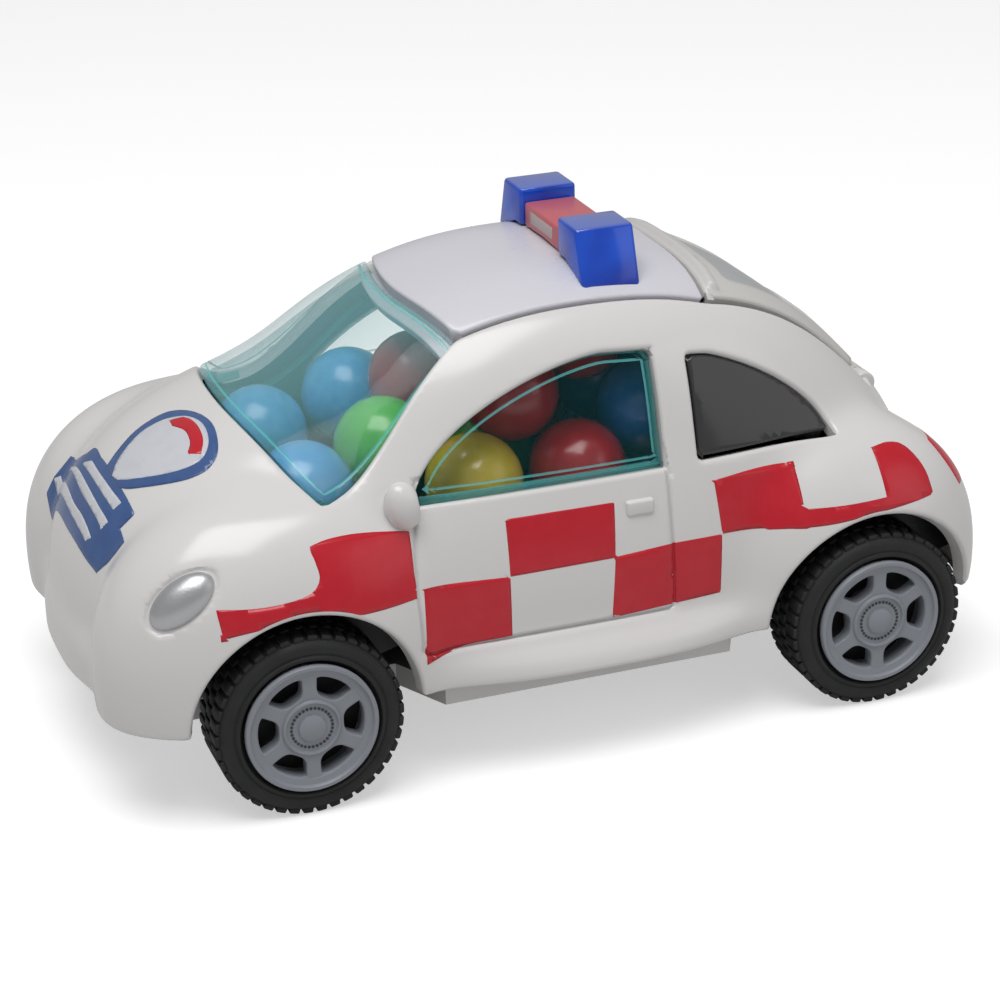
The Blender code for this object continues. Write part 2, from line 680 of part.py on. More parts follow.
def make_window_insert(finish):
    insert = layer("window_insert", LINING, LINING_INSIDE, finish)
    front = -SCREEN_FRONT - 4 * WALL
    rear = DOOR_REAR + PILLAR_WIDTH / 2
    keep_within(insert, block("insert_zone", (front, -FAR, BELT_LINE - 2 * FLANGE), (rear, FAR, FAR)))
    low, high = 0.9 * BELT_LINE, 2 * ROOF_HEIGHT
    pane = layer("screen_pane", 0.1 * WALL, LINING + LINING_WALL / 2)
    keep_within(pane, slab("screen_pane_zone", grown(screen_outline(), -EDGE_GAP), low, high))
    door = layer("door_pane", 0.6 * WALL, LINING + LINING_WALL / 2)
    keep_within(door, slab("door_pane_zone", grown(door_window_outline(), -EDGE_GAP), -FAR, FAR, "Y"))
    join(insert, pane, door)
    cut(insert, slab("flange_relief", roof_flange_outline(), low, high))
    return insert


def make_roof_panel(finish):
    low, high = 0.9 * BELT_LINE, 2 * ROOF_HEIGHT
    panel = layer("roof_panel", 0, LINING + 0.7 * LINING_WALL, finish)
    keep_within(panel, slab("roof_panel_zone", grown(roof_outline(), -EDGE_GAP), low, high))
    flange = layer("roof_flange", LINING, LINING_INSIDE)
    keep_within(flange, slab("roof_flange_zone", grown(roof_flange_outline(), -1.5 * EDGE_GAP), low, high))
    return join(panel, flange)


def make_rear_hatch(finish):
    low, high = 0.6 * BELT_LINE, 2 * ROOF_HEIGHT
    hatch = layer("rear_hatch", 0, WALL, finish)
    keep_within(hatch, slab("hatch_zone", grown(hatch_outline(), -EDGE_GAP), low, high))
    ridge = layer("grip_ridge", -RIDGE_HEIGHT, WALL / 2)
    start = ROOF_REAR + RIDGE_WIDTH / 2
    keep_within(ridge, block("ridge_zone", (start, -RIDGE_HALF, low), (start + RIDGE_WIDTH, RIDGE_HALF, high)))
    front, rear = ROOF_REAR + REAR_GLASS_START, HATCH_REAR - REAR_GLASS_END
    glass = slab("rear_glass", [(front, -REAR_GLASS_FRONT_HALF), (front, REAR_GLASS_FRONT_HALF),
                                (rear, REAR_GLASS_REAR_HALF), (rear, -REAR_GLASS_REAR_HALF)], low, high)
    cut(glass, layer("glass_bed", REAR_GLASS_DEPTH))
    x, z = hinge_centre()
    join(hatch, ridge)
    cut(hatch, glass)
    join(hatch, rod("hinge_barrel", HINGE_RADIUS, 2 * HINGE_HALF, (x, 0, z), facets=BORE_FACETS))
    cut(hatch, rod("barrel_bore", HINGE_PIN_RADIUS + CLEARANCE, FAR, (x, 0, z), facets=BORE_FACETS))
    line = bpy.data.objects.new("hatch_hinge_line", None)
    parts.objects.link(line)
    line.location = (x, 0, z)
    hatch.parent = line
    hatch.location = (-x, 0, -z)
    return hatch


def make_quarter_windows(finish):
    made = []
    for side, sign in (("left", -1), ("right", 1)):
        across = sorted((sign * (ROOF_HALF + FLANGE + EDGE_GAP), sign * FAR))
        pane = layer(f"quarter_window_{side}", 0.25 * WALL, LINING + 0.7 * LINING_WALL, finish)
        keep_within(pane, slab(f"quarter_zone_{side}", grown(quarter_outline(), -EDGE_GAP), *across, "Y"))
        rim = layer(f"quarter_rim_{side}", LINING, LINING_INSIDE)
        keep_within(rim, slab(f"quarter_rim_zone_{side}", grown(quarter_outline(), FLANGE / 2), *across, "Y"))
        made.append(join(pane, rim))
    return made


def make_light_bar(lens_finish, centre_finish):
    """Two lens blocks that lean out at the foot, and a lower block between them."""
    front, rear = BAR_SETBACK, BAR_SETBACK + BAR_LENGTH
    seat = layer("roof_seat", -0.75 * CLEARANCE)
    foot = 0.9 * ROOF_HEIGHT
    outer = BAR_HALF + LENS_TOP_WIDTH
    for side, sign in (("left", -1), ("right", 1)):
        profile = [(sign * (BAR_HALF + CLEARANCE), foot), (sign * (outer + LENS_FOOT_SPREAD), foot),
                   (sign * outer, BAR_TOP), (sign * (BAR_HALF + CLEARANCE), BAR_TOP)]
        cut(slab(f"lightbar_lens_{side}", profile, front, rear, "X", lens_finish), seat)
    centre = block("lightbar_centre", (front + CLEARANCE, -BAR_HALF, foot),
                   (rear - CLEARANCE, BAR_HALF, BAR_TOP - CENTRE_DROP), centre_finish)
    cut(centre, seat)


# Tub, chassis, screws and axles

def make_tub(finish):
    top = BELT_LINE - 2 * FLANGE - CLEARANCE
    tub = layer("candy_tub", LINING, None, finish)
    keep_within(tub, block("tub_zone", (-TUB_FRONT, -FAR, TUB_FLOOR), (TUB_REAR, FAR, top)))
    cavity = layer("tub_cavity", LINING_INSIDE)
    wall = LINING_WALL
    keep_within(cavity, block("cavity_zone", (-TUB_FRONT + wall, -FAR, TUB_FLOOR + wall), (TUB_REAR - wall, FAR, FAR)))
    cut(cavity, *arch_rods(ARCH_RADIUS + EDGE_GAP + wall, WELL_INNER - wall))
    cut(tub, cavity)
    cut(tub, *arch_rods(ARCH_RADIUS + EDGE_GAP, WELL_INNER))
    return tub


def chassis_outline():
    waist_front = FRONT_AXLE + ARCH_RADIUS
    waist_rear = REAR_AXLE - ARCH_RADIUS
    flare = CHASSIS_HALF - CHASSIS_WAIST
    nose = CHASSIS_NOSE_HALF
    corner = CHASSIS_WAIST - nose
    taper = CHASSIS_WAIST - CHASSIS_TAPER
    near = [(-CHASSIS_FRONT, -nose), (-CHASSIS_FRONT + corner / 2, -taper), (waist_front, -CHASSIS_WAIST),
            (waist_front + flare / 2, -CHASSIS_HALF), (waist_rear - flare / 2, -CHASSIS_HALF),
            (waist_rear, -CHASSIS_WAIST), (CHASSIS_REAR - corner / 2, -taper), (CHASSIS_REAR, -nose)]
    return near + [(u, -v) for u, v in reversed(near)]


def make_chassis(finish):
    plate_top = CHASSIS_UNDERSIDE + CHASSIS_PLATE
    chassis = slab("chassis", chassis_outline(), CHASSIS_UNDERSIDE, plate_top + CHASSIS_PLATE, finish=finish)
    cut(chassis, slab("chassis_pan", grown(chassis_outline(), -LINING_WALL), plate_top, plate_top + FAR))
    middle_plate = CHASSIS_UNDERSIDE + CHASSIS_PLATE / 2
    outer = CHASSIS_WAIST - SADDLE_MARGIN
    inner = outer - SADDLE_WIDTH
    for end, axle in (("front", FRONT_AXLE), ("rear", REAR_AXLE)):
        for side, sign in (("left", -1), ("right", 1)):
            across = sorted((sign * inner, sign * outer))
            join(chassis, block(f"saddle_{end}_{side}", (axle - SADDLE_LENGTH / 2, across[0], middle_plate),
                                (axle + SADDLE_LENGTH / 2, across[1], TUB_FLOOR - CLEARANCE)))
        cut(chassis, rod(f"axle_bore_{end}", AXLE_RADIUS + CLEARANCE, FAR, (axle, 0, AXLE_HEIGHT), facets=BORE_FACETS))
    for place, end in zip(boss_places(), ("front", "rear")):
        join(chassis, rod(f"pad_{end}", BOSS_RADIUS + CHASSIS_PLATE, boss_foot() - middle_plate,
                          (place, 0, (boss_foot() + middle_plate) / 2), "Z", 16))
        cut(chassis, rod(f"head_recess_{end}", SCREW_HEAD_RADIUS + CLEARANCE, 2 * (CHASSIS_PLATE + CLEARANCE),
                         (place, 0, CHASSIS_UNDERSIDE), "Z", 16),
            rod(f"screw_hole_{end}", SCREW_RADIUS + CLEARANCE, FAR, (place, 0, CHASSIS_UNDERSIDE), "Z",
                BORE_FACETS))
    return chassis


def make_screws(finish):
    head = CHASSIS_PLATE
    for place, end in zip(boss_places(), ("front", "rear")):
        shape = bmesh.new()
        profile = [(0, 0), (SCREW_HEAD_RADIUS, 0), (SCREW_HEAD_RADIUS, 0.6 * head), (SCREW_RADIUS, head),
                   (SCREW_RADIUS, SCREW_LENGTH - 1.2 * SCREW_RADIUS), (0, SCREW_LENGTH)]
        lathe(shape, profile, BORE_FACETS)
        mesh = bpy.data.meshes.new(f"chassis_screw_{end}")
        shape.to_mesh(mesh)
        shape.free()
        shade_round(mesh)
        item = add_object(f"chassis_screw_{end}", mesh, finish)
        item.location = (place, 0, CHASSIS_UNDERSIDE + CLEARANCE)


def lathe(shape, profile, facets):
    """Spin a profile of radius and height round Z; ends on the axis are merged."""
    points = [shape.verts.new((radius, 0, height)) for radius, height in profile]
    edges = [shape.edges.new(pair) for pair in zip(points[:-1], points[1:])]
    bmesh.ops.spin(shape, geom=points + edges, cent=(0, 0, 0), axis=(0, 0, 1), angle=2 * math.pi, steps=facets,
                   use_merge=True)
    bmesh.ops.remove_doubles(shape, verts=shape.verts, dist=1e-6)
    bmesh.ops.recalc_face_normals(shape, faces=shape.faces)


# Wheels: made once with the outer face up, then shared

def evaluated_mesh(item):
    bpy.context.view_layer.update()
    return bpy.data.meshes.new_from_object(item.evaluated_get(bpy.context.evaluated_depsgraph_get()))


def turned(name, profile, facets=None):
    """A solid of revolution round Z from a closed or axis-ended profile."""
    shape = bmesh.new()
    closed = profile[0][0] > 0
    lathe(shape, profile + profile[:1] if closed else profile, facets or WHEEL_FACETS)
    mesh = bpy.data.meshes.new(name)
    shape.to_mesh(mesh)
    shape.free()
    if mesh_volume(mesh) < 0:
        mesh.flip_normals()
    return as_cutter(add_object(name, mesh, None, cutters))


def rim_mesh():
    """Lipped rim with a hub, six spokes that meet a web inside the lip, and a blind bore."""
    barrel = RIM_RADIUS - 1.5 * CLEARANCE
    wall = 0.7 * WALL
    web = RIM_RADIUS - RIM_BAND
    face, back = -0.4 * WALL, -1.8 * WALL
    deep = 0.86 * TYRE_WIDTH
    rim = turned("rim_ring", [(RIM_RADIUS, 0), (RIM_RADIUS, -RIM_LIP), (barrel, -RIM_LIP), (barrel, -deep),
                              (barrel - wall, -deep), (barrel - wall, 1.1 * back), (web, 1.1 * back),
                              (web, 0.8 * face), (barrel - 0.5 * wall, 0)])
    hub = HUB_RADIUS
    join(rim, turned("rim_hub", [(0, 0), (0.86 * hub, 0), (hub, 1.3 * face), (0.82 * hub, -deep), (0, -deep)],
                     BORE_FACETS))
    for index in range(SPOKES):
        spoke = block(f"spoke_{index + 1}", (0.7 * hub, -SPOKE_WIDTH / 2, back),
                      ((web + barrel) / 2, SPOKE_WIDTH / 2, face))
        spoke.rotation_euler.z = math.radians(90) + 2 * math.pi * index / SPOKES
        join(rim, spoke)
    cut(rim, rod("rim_bore", AXLE_RADIUS + 0.75 * CLEARANCE, 2 * deep, (0, 0, -deep - 1.2 * WALL), "Z",
                 BORE_FACETS))
    return evaluated_mesh(rim)


def tyre_mesh():
    """Chunky tyre with a bead, a plain sidewall and rounded shoulders."""
    bore = RIM_RADIUS - 0.5 * CLEARANCE
    lip = RIM_LIP + EDGE_GAP
    shoulder = TYRE_RADIUS - bore
    out, back = -0.3 * WALL, -TYRE_WIDTH
    bead = RIM_RADIUS + CLEARANCE
    profile = [(bore, -lip - CLEARANCE), (bead, -lip), (bead, out), (TYRE_RADIUS - 0.32 * shoulder, out),
               (TYRE_RADIUS - 0.08 * shoulder, out - 0.2 * shoulder), (TYRE_RADIUS, out - 0.45 * shoulder),
               (TYRE_RADIUS, back + 0.45 * shoulder), (TYRE_RADIUS - 0.2 * shoulder, back), (bore, back)]
    return evaluated_mesh(turned("tyre_ring", profile))


def make_wheels(rim_finish, tyre_finish, steel):
    rim, tyre = rim_mesh(), tyre_mesh()
    for mesh, finish in ((rim, rim_finish), (tyre, tyre_finish)):
        mesh.materials.clear()
        mesh.materials.append(finish)
        shade_round(mesh)
    for end, axle in (("front", FRONT_AXLE), ("rear", REAR_AXLE)):
        hub = bpy.data.objects.new(f"{end}_axle_line", None)
        parts.objects.link(hub)
        hub.location = (axle, 0, AXLE_HEIGHT)
        pin = rod(f"{end}_axle", AXLE_RADIUS, 2 * (HALF_TRACK - 1.5 * WALL - CLEARANCE), (0, 0, 0),
                  facets=BORE_FACETS, finish=steel)
        pin.parent = hub
        for side, sign in (("left", -1), ("right", 1)):
            for kind, mesh in (("rim", rim), ("tyre", tyre)):
                item = add_object(f"{kind}_{end}_{side}", mesh)
                item.parent = hub
                item.location = (0, sign * HALF_TRACK, 0)
                item.rotation_euler = (-sign * math.pi / 2, 0, 0)


# Sweets

def sweet_fits(x, y, z):
    """Whether a ball centred here is clear of the glazing, the tub and the wheel wells."""
    radius = CANDY_DIAMETER / 2
    reach = radius + CLEARANCE
    fits = form(x, y, z, LINING_INSIDE + reach) < 1
    fits &= (x - reach > LINING_WALL - TUB_FRONT) & (x + radius < ROOF_REAR)
    fits &= z - reach > TUB_FLOOR + LINING_WALL
    well = ARCH_RADIUS + EDGE_GAP + LINING_WALL + reach
    for axle in (FRONT_AXLE, REAR_AXLE):
        above = np.hypot(x - axle, z - AXLE_HEIGHT) > well
        fits &= above | (np.abs(y) + reach < WELL_INNER - LINING_WALL)
    return fits


def settled(place, others):
    """Roll one ball downhill in ever smaller steps until nothing lower is free."""
    place = np.array(place)
    others = np.array(others).reshape(-1, 3)
    ways = [np.array(way) for way in itertools.product((0, 1, -1), (0, 1, -1), (-1, -0.2))]
    for share in (0.05, 0.02, 0.005):
        moved = True
        while moved:
            moved = False
            for way in ways:
                trial = place + share * CANDY_DIAMETER * way
                apart = np.linalg.norm(others - trial, axis=1) > CANDY_DIAMETER + CANDY_GAP
                if apart.all() and sweet_fits(*trial):
                    place, moved = trial, True
                    break
    return place


def sweet_places():
    """Balls dropped one by one into the lowest free place inside the tub and the glazing."""
    step = CANDY_DIAMETER / 10
    xs = np.arange(-TUB_FRONT, ROOF_REAR, step)
    ys = np.arange(-2 * HALF_TRACK / 3, 2 * HALF_TRACK / 3 + step, step)
    zs = np.arange(TUB_FLOOR, ROOF_HEIGHT, step / 2)
    spots = np.stack([axis.ravel() for axis in np.meshgrid(xs, ys, zs, indexing="ij")])
    spots = spots[:, sweet_fits(*spots)]
    spots = spots[:, np.lexsort((spots[0], -np.abs(spots[1]), np.round(spots[2] / step)))]
    places = []
    while spots.shape[1]:
        here = settled(spots[:, 0], places)
        places.append(here)
        apart = np.linalg.norm(spots - here[:, None], axis=0) > CANDY_DIAMETER + CANDY_GAP
        spots = spots[:, apart]
    return places


def sweet_colour(number, place, colours):
    """The colour of the sweet seen nearest this place, or else the next colour in turn."""
    gap, colour = min((math.dist(place, seen), colour) for colour, seen in SEEN_SWEETS)
    return colour if gap < 0.65 * CANDY_DIAMETER else colours[number % len(colours)]


def make_sweets(finishes):
    chosen = []
    for number, place in enumerate(sweet_places()):
        name = f"candy_{number + 1:02d}"
        chosen.append(sweet_colour(number, place, list(finishes)))
        shape = bmesh.new()
        bmesh.ops.create_icosphere(shape, subdivisions=2, radius=CANDY_DIAMETER / 2)
        mesh = bpy.data.meshes.new(name)
        shape.to_mesh(mesh)
        shape.free()
        shade_round(mesh, 60)
        add_object(name, mesh, finishes[chosen[-1]]).location = place
    print("sweets", *chosen)


def centre_on_origin():
    """Move the whole car so that the middle of its length is over the origin."""
    bpy.context.view_layer.update()
    low, high = math.inf, -math.inf
    for item in parts.objects:
        if item.type == "MESH":
            mesh = evaluated_mesh(item)
            for vertex in mesh.vertices:
                along = (item.matrix_world @ vertex.co).x
                low, high = min(low, along), max(high, along)
    shift = -(low + high) / 2
    for group in (parts, cutters):
        for item in group.objects:
            if item.parent is None:
                item.location.x += shift
    return shift


def build():
    global parts, cutters
    parts, cutters = clear_scene()
    white = material("white_abs", "ECE9E6", 0.25)
    cool_white = material("cool_white_abs", "E4E5EA", 0.3)
    warm_white = material("warm_white_abs", "E8E4DA", 0.3)
    teal = material("teal_clear_styrene", "3FA9A0", 0.06, clear=0.8)
    black = material("black_styrene", "2C2F31", 0.12)
    silver = material("silver_plated_styrene", "C4C6C8", 0.25, metallic=0.9)
    blue_lens = material("blue_clear_styrene", "1648C8", 0.1, clear=0.5)
    red_block = material("red_styrene", "B84048", 0.3)
    dark = material("black_abs", "17181A", 0.5)
    grey = material("grey_abs", "6E747E", 0.35)
    tyre = material("black_soft_vinyl", "1C1E20", 0.6)
    steel = material("drawn_steel", "A9ABAD", 0.3, metallic=1.0)
    glazes = {name: material(f"{name}_sugar_glaze", colour, 0.15) for name, colour in
              (("blue", "3B93C8"), ("red", "8C1018"), ("green", "3C9A32"), ("deep_blue", "2A6FB0"),
               ("yellow", "C8B432"))}
    make_body_shell(white)
    make_window_insert(teal)
    make_roof_panel(cool_white)
    make_rear_hatch(warm_white)
    make_quarter_windows(black)
    for side, sign in (("left", -1), ("right", 1)):
        make_headlight(side, sign, silver)
    make_light_bar(blue_lens, red_block)
    make_tub(dark)
    make_chassis(white)
    make_screws(steel)
    x, z = hinge_centre()
    rod("hatch_pin", HINGE_PIN_RADIUS, 2 * (HINGE_HALF + CLEARANCE + 0.5 * HINGE_LUG), (x, 0, z), facets=12,
        finish=steel)
    make_wheels(grey, tyre, steel)
    make_sweets(glazes)
    shift = centre_on_origin()
    print("shift", round(shift / MM, 3), "hinge", round((x + shift) / MM, 3), round(z / MM, 3),
          "axles", round((FRONT_AXLE + shift) / MM, 3), round((REAR_AXLE + shift) / MM, 3))


build()
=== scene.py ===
# %% [markdown]
# # A candy-filled toy car
#
# The toy is about 117 mm long: a moulded white body with red printed checks, a clear teal
# canopy over a hold of round sweets, a two-lens roof bar and four spoked wheels with chunky
# tyres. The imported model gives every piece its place; this script gives each one its looks.

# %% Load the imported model
import math

import bmesh
import bpy
import numpy as np
from mathutils import Matrix, Vector


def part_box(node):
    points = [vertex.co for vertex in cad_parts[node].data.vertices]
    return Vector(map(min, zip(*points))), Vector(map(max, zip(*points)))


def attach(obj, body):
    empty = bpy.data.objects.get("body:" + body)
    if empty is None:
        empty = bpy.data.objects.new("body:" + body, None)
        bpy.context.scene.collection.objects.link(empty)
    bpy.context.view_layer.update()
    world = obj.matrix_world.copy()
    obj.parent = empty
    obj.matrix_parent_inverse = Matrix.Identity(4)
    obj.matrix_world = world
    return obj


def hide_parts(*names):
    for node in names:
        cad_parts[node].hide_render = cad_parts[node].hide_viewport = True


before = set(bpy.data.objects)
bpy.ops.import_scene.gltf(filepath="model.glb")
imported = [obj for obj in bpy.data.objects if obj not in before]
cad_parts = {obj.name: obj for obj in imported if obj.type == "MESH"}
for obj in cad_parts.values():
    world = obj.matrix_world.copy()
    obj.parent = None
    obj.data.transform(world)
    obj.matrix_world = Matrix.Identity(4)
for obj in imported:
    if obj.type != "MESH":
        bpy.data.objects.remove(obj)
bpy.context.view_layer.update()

MM = 0.001

# %% [markdown]
# ## Small helpers
#
# Colours are written as sRGB hex values, the way a painter would pick them, and Blender's
# shaders want linear light, so one function turns one into the other. Another adds a shader
# node, sets it up and links it. A few patterns come back in most materials: a noise, a range
# stretched to another, a blend of two colours and a bump.

# %% Colour and node helpers
def linear(hex_colour):
    channels = [int(hex_colour[i:i + 2], 16) / 255 for i in (1, 3, 5)]
    return tuple(c / 12.92 if c <= 0.04045 else ((c + 0.055) / 1.055) ** 2.4 for c in channels)


def add(tree, kind, inputs=None, **settings):
    """A node with its settings; each input takes a value or another node's output."""
    made = tree.nodes.new(kind)
    for name, value in settings.items():
        setattr(made, name, value)
    for name, value in (inputs or {}).items():
        if isinstance(value, bpy.types.NodeSocket):
            tree.links.new(value, made.inputs[name])
        else:
            made.inputs[name].default_value = value
    return made


def finish_of(name, hex_colour, roughness, metallic=0.0, **inputs):
    """A material with one Principled shader, ready for its pattern."""
    made = bpy.data.materials.new(name)
    made.use_nodes = True
    shader = made.node_tree.nodes["Principled BSDF"]
    shader.inputs["Base Color"].default_value = (*linear(hex_colour), 1)
    shader.inputs["Roughness"].default_value = roughness
    shader.inputs["Metallic"].default_value = metallic
    for key, value in inputs.items():
        shader.inputs[key.replace("_", " ")].default_value = value
    return made, made.node_tree, shader


def noise(tree, size_mm, detail=2.0):
    """A cloud pattern on the piece's own coordinates, its patches about size_mm wide."""
    place = add(tree, "ShaderNodeTexCoord").outputs["Object"]
    inputs = {"Vector": place, "Scale": 1 / (size_mm * MM), "Detail": detail}
    return add(tree, "ShaderNodeTexNoise", inputs).outputs["Fac"]


def mapped(tree, value, low, high, to_low, to_high):
    """A value's range from low to high, stretched to another range."""
    inputs = {"Value": value, "From Min": low, "From Max": high, "To Min": to_low, "To Max": to_high}
    return add(tree, "ShaderNodeMapRange", inputs).outputs["Result"]


def blended(tree, share, *colours):
    """From one colour to another as share grows; each is a hex value or a node's output."""
    first, second = ((*linear(c), 1) if isinstance(c, str) else c for c in colours)
    return add(tree, "ShaderNodeMix", {"Factor": share, "A": first, "B": second}, data_type="RGBA").outputs["Result"]


def bump(tree, shader, height, distance_mm, strength=1.0):
    """Small relief from a pattern, on top of any that is there."""
    made = add(tree, "ShaderNodeBump", {"Height": height, "Distance": distance_mm * MM, "Strength": strength})
    for earlier in list(shader.inputs["Normal"].links):
        tree.links.new(earlier.from_socket, made.inputs["Normal"])
    tree.links.new(made.outputs["Normal"], shader.inputs["Normal"])


# %% [markdown]
# ## Materials
#
# The toy is nearly all injection-moulded plastic. A moulded face isn't perfectly even: the
# steel mould leaves a faint waviness that breaks up a reflection, and the gloss varies a
# little with how the plastic flowed. Both are slow noises, so they read as plastic and not
# as a pattern.

# %% Moulded plastics
def moulded(name, hex_colour, roughness, wave_mm=9.0, wave_height_mm=0.012, grain_mm=0.0, **inputs):
    """Injection-moulded plastic: slow waviness in gloss and height, with an optional grain."""
    made, tree, shader = finish_of(name, hex_colour, roughness, **inputs)
    wave = noise(tree, wave_mm)
    gloss = mapped(tree, wave, 0.1, 0.9, 0.8 * roughness, 1.25 * roughness)
    tree.links.new(gloss, shader.inputs["Roughness"])
    bump(tree, shader, wave, wave_height_mm)
    if grain_mm:
        bump(tree, shader, noise(tree, grain_mm, 3.0), 0.12 * grain_mm, 0.6)
    return made


# Glossy ABS with a warm white pigment: bright, with soft-edged highlights.
white_abs = moulded("white_abs_moulded_gloss", "#D3D1D0", 0.2)
# The roof panel is a batch of cooler white, a touch milkier.
roof_abs = moulded("cool_white_abs_moulded", "#CCCBD2", 0.28)
# The hatch is a separate, warmer and duller moulding.
hatch_abs = moulded("warm_white_abs_moulded", "#C4C2BF", 0.34)
# A plain grey for the rear window panel sunk into the hatch.
rear_glass_abs = moulded("grey_rear_window_panel", "#A9ABAC", 0.3)
# The wheels' grey ABS is left with the mould's fine spark-eroded grain, so it looks satin.
rim_abs = moulded("grey_abs_satin", "#868A91", 0.42, grain_mm=0.25)
tub_abs = moulded("black_abs_moulded", "#1B1D1F", 0.45, grain_mm=0.4)
quarter_styrene = moulded("black_styrene_polished", "#353536", 0.1)

# %% [markdown]
# Clear styrene is tinted all through. Where it is a thin sheet it hardly dims what lies behind, but along a cut edge
# the eye looks through centimetres of it, so the edges show the full colour, and their brightness is painted light:
# the glow of light piped along the sheet to its edge. Two materials make that: a nearly clear face whose tint grows
# at a grazing angle, and a strong, bright one for the rims of the panes.

# %% Clear tinted styrene
STYRENE_IOR = 1.59


def clear_styrene(name, hex_colour, face_on, edge_on, roughness=0.04):
    """Clear tinted plastic that covers by face_on where it faces the eye and by edge_on at its edge."""
    made, tree, shader = finish_of(name, hex_colour, roughness, IOR=STYRENE_IOR)
    facing = add(tree, "ShaderNodeLayerWeight", {"Blend": 0.35}).outputs["Facing"]
    tree.links.new(mapped(tree, facing, 0, 1, face_on, edge_on), shader.inputs["Alpha"])
    bump(tree, shader, noise(tree, 7), 0.02)
    made.surface_render_method = "BLENDED"
    return made


# The windscreen and door windows are one moulding: the windscreen's paler, more covering teal is a painted sheen
# where the styrene faces up to the light, and the door's darker, clearer teal is painted shade.
screen_face = clear_styrene("teal_clear_styrene_windscreen", "#86BFC2", 0.07, 0.5)
door_face = clear_styrene("teal_clear_styrene_door", "#3F8A8C", 0.03, 0.3)
# The edge teal's brightness is painted light, the glow of light piped to a cut edge.
teal_edge = clear_styrene("teal_clear_styrene_edge", "#62C0BF", 0.5, 0.9, 0.12)

# %% [markdown]
# The lens blocks are thick blue styrene, so they look deep and saturated from the side and a little uneven inside; a
# painted sheen makes them pale and milky on the faces that look up. The plug between them is opaque red.

# %% Roof bar plastics
def lens_styrene(name, hex_colour, deep_hex, pale_hex):
    """Thick clear plastic: cloudy inside, with a painted sheen that makes it pale where it faces up."""
    made, tree, shader = finish_of(name, hex_colour, 0.12, IOR=STYRENE_IOR)
    depth = blended(tree, mapped(tree, noise(tree, 7, 1.0), 0.35, 0.62, 0, 1), deep_hex, hex_colour)
    normal = add(tree, "ShaderNodeNewGeometry").outputs["Normal"]
    up = add(tree, "ShaderNodeSeparateXYZ", {"Vector": normal}).outputs["Z"]
    # Painted sheen: the faces that look up are blended towards the pale blue.
    colour = blended(tree, mapped(tree, up, 0.6, 0.95, 0, 0.75), depth, pale_hex)
    tree.links.new(colour, shader.inputs["Base Color"])
    return made


blue_lens = lens_styrene("blue_clear_styrene_lens", "#1050CC", "#0F36A6", "#6E7CB4")
red_styrene = moulded("red_styrene_moulded", "#BC5F66", 0.3)
pale_panel = moulded("pale_printed_panel", "#B9ABA8", 0.4)

# %% [markdown]
# Pad-printed ink lies about 10 microns thick on the plastic: same gloss, slightly uneven
# where the pad lifted. Vacuum-plated lamps are a thin metal film under lacquer.

# %% Inks, plating, steel, vinyl
def mottled(name, hex_colour, thin_hex, roughness, size_mm, detail, patches, bump_mm=0.0, **inputs):
    """A colour with thinner patches: where they start, where they are full and their most."""
    made, tree, shader = finish_of(name, hex_colour, roughness, **inputs)
    cloud = noise(tree, size_mm, detail)
    start, full, most = patches
    colour = blended(tree, mapped(tree, cloud, start, full, 0, most), hex_colour, thin_hex)
    tree.links.new(colour, shader.inputs["Base Color"])
    if bump_mm:
        bump(tree, shader, cloud, bump_mm)
    return made


def printed(name, hex_colour, thin_hex):
    """Pad-printed ink, a little thinner in places."""
    return mottled(name, hex_colour, thin_hex, 0.26, 2.5, 4.0, (0.45, 0.8, 0.5))


red_ink = printed("red_pad_printed_ink", "#BA1426", "#C22434")
blue_ink = printed("blue_pad_printed_ink", "#3A5688", "#4A6796")
white_ink = printed("white_pad_printed_ink", "#C6C7CC", "#B4B8C4")
steel = moulded("drawn_steel_wire", "#A4A6A8", 0.3, wave_mm=1.0, wave_height_mm=0.01, Metallic=1.0)
tyre_vinyl = moulded("black_soft_vinyl_moulded", "#151617", 0.62, wave_mm=4.0, wave_height_mm=0.05, grain_mm=0.35)

# %% [markdown]
# A gum ball is sugar shell over gum, polished with wax in a tumbling drum. The colour is
# sprayed on in layers and lies a little unevenly, and the wax gives a broad, soft gloss.

# %% Sugar glaze
def sugar_glaze(name, hex_colour, pale_hex):
    """A polished sugar shell, a little paler in small patches."""
    return mottled(name + "_sugar_glaze", hex_colour, pale_hex, 0.24, 1.6, 5.0, (0.4, 0.75, 0.6), 0.05,
                   Coat_Weight=0.4, Coat_Roughness=0.15)


GLAZES = {name: sugar_glaze(name, *pair) for name, pair in {
    "blue": ("#3C97D6", "#62AFE2"), "red": ("#A4121E", "#B92A33"), "green": ("#4FB83A", "#70C95C"),
    "deep_blue": ("#2569B4", "#3C7EC4"), "yellow": ("#D8BE3A", "#E3CF62")}.items()}
print("materials", len(bpy.data.materials))

# %% [markdown]
# ## The body's form
#
# Nearly every piece follows one shape, so that shape is written once, as a function: less
# than 1 inside the car, more outside. It is a smooth blend of rounded boxes, one for the
# hull, one for the cabin and one for each fender, bumper and sill. A depth draws every box
# in, which gives the layers under the skin. A subdivision cage could make such a body too,
# but a function lets each pane and panel be cut from exactly the same surface.

# %% Sizes shared with the model
HALF_WHEELBASE = 37 * MM
SHIFT = sum(c[0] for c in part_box("front_axle")) / 2 + HALF_WHEELBASE  # the wheelbase's middle
FRONT_AXLE, REAR_AXLE = SHIFT - HALF_WHEELBASE, SHIFT + HALF_WHEELBASE
AXLE_HEIGHT = 11.6 * MM
HALF_TRACK = 31.5 * MM
BODY_HEM = 12.2 * MM
ARCH_RADIUS = 14.4 * MM
WALL = 1.4 * MM
EDGE_GAP = 0.35 * MM
BELT_LINE = 34.8 * MM
BLEND = 0.05  # how softly the rounded boxes flow into each other
FACET_SLACK = 0.012 * MM  # keeps the smooth skin within the model's flat facets
SIDES = (("left", -1), ("right", 1))
print("shift of the wheelbase's middle, mm:", round(SHIFT / MM, 2))

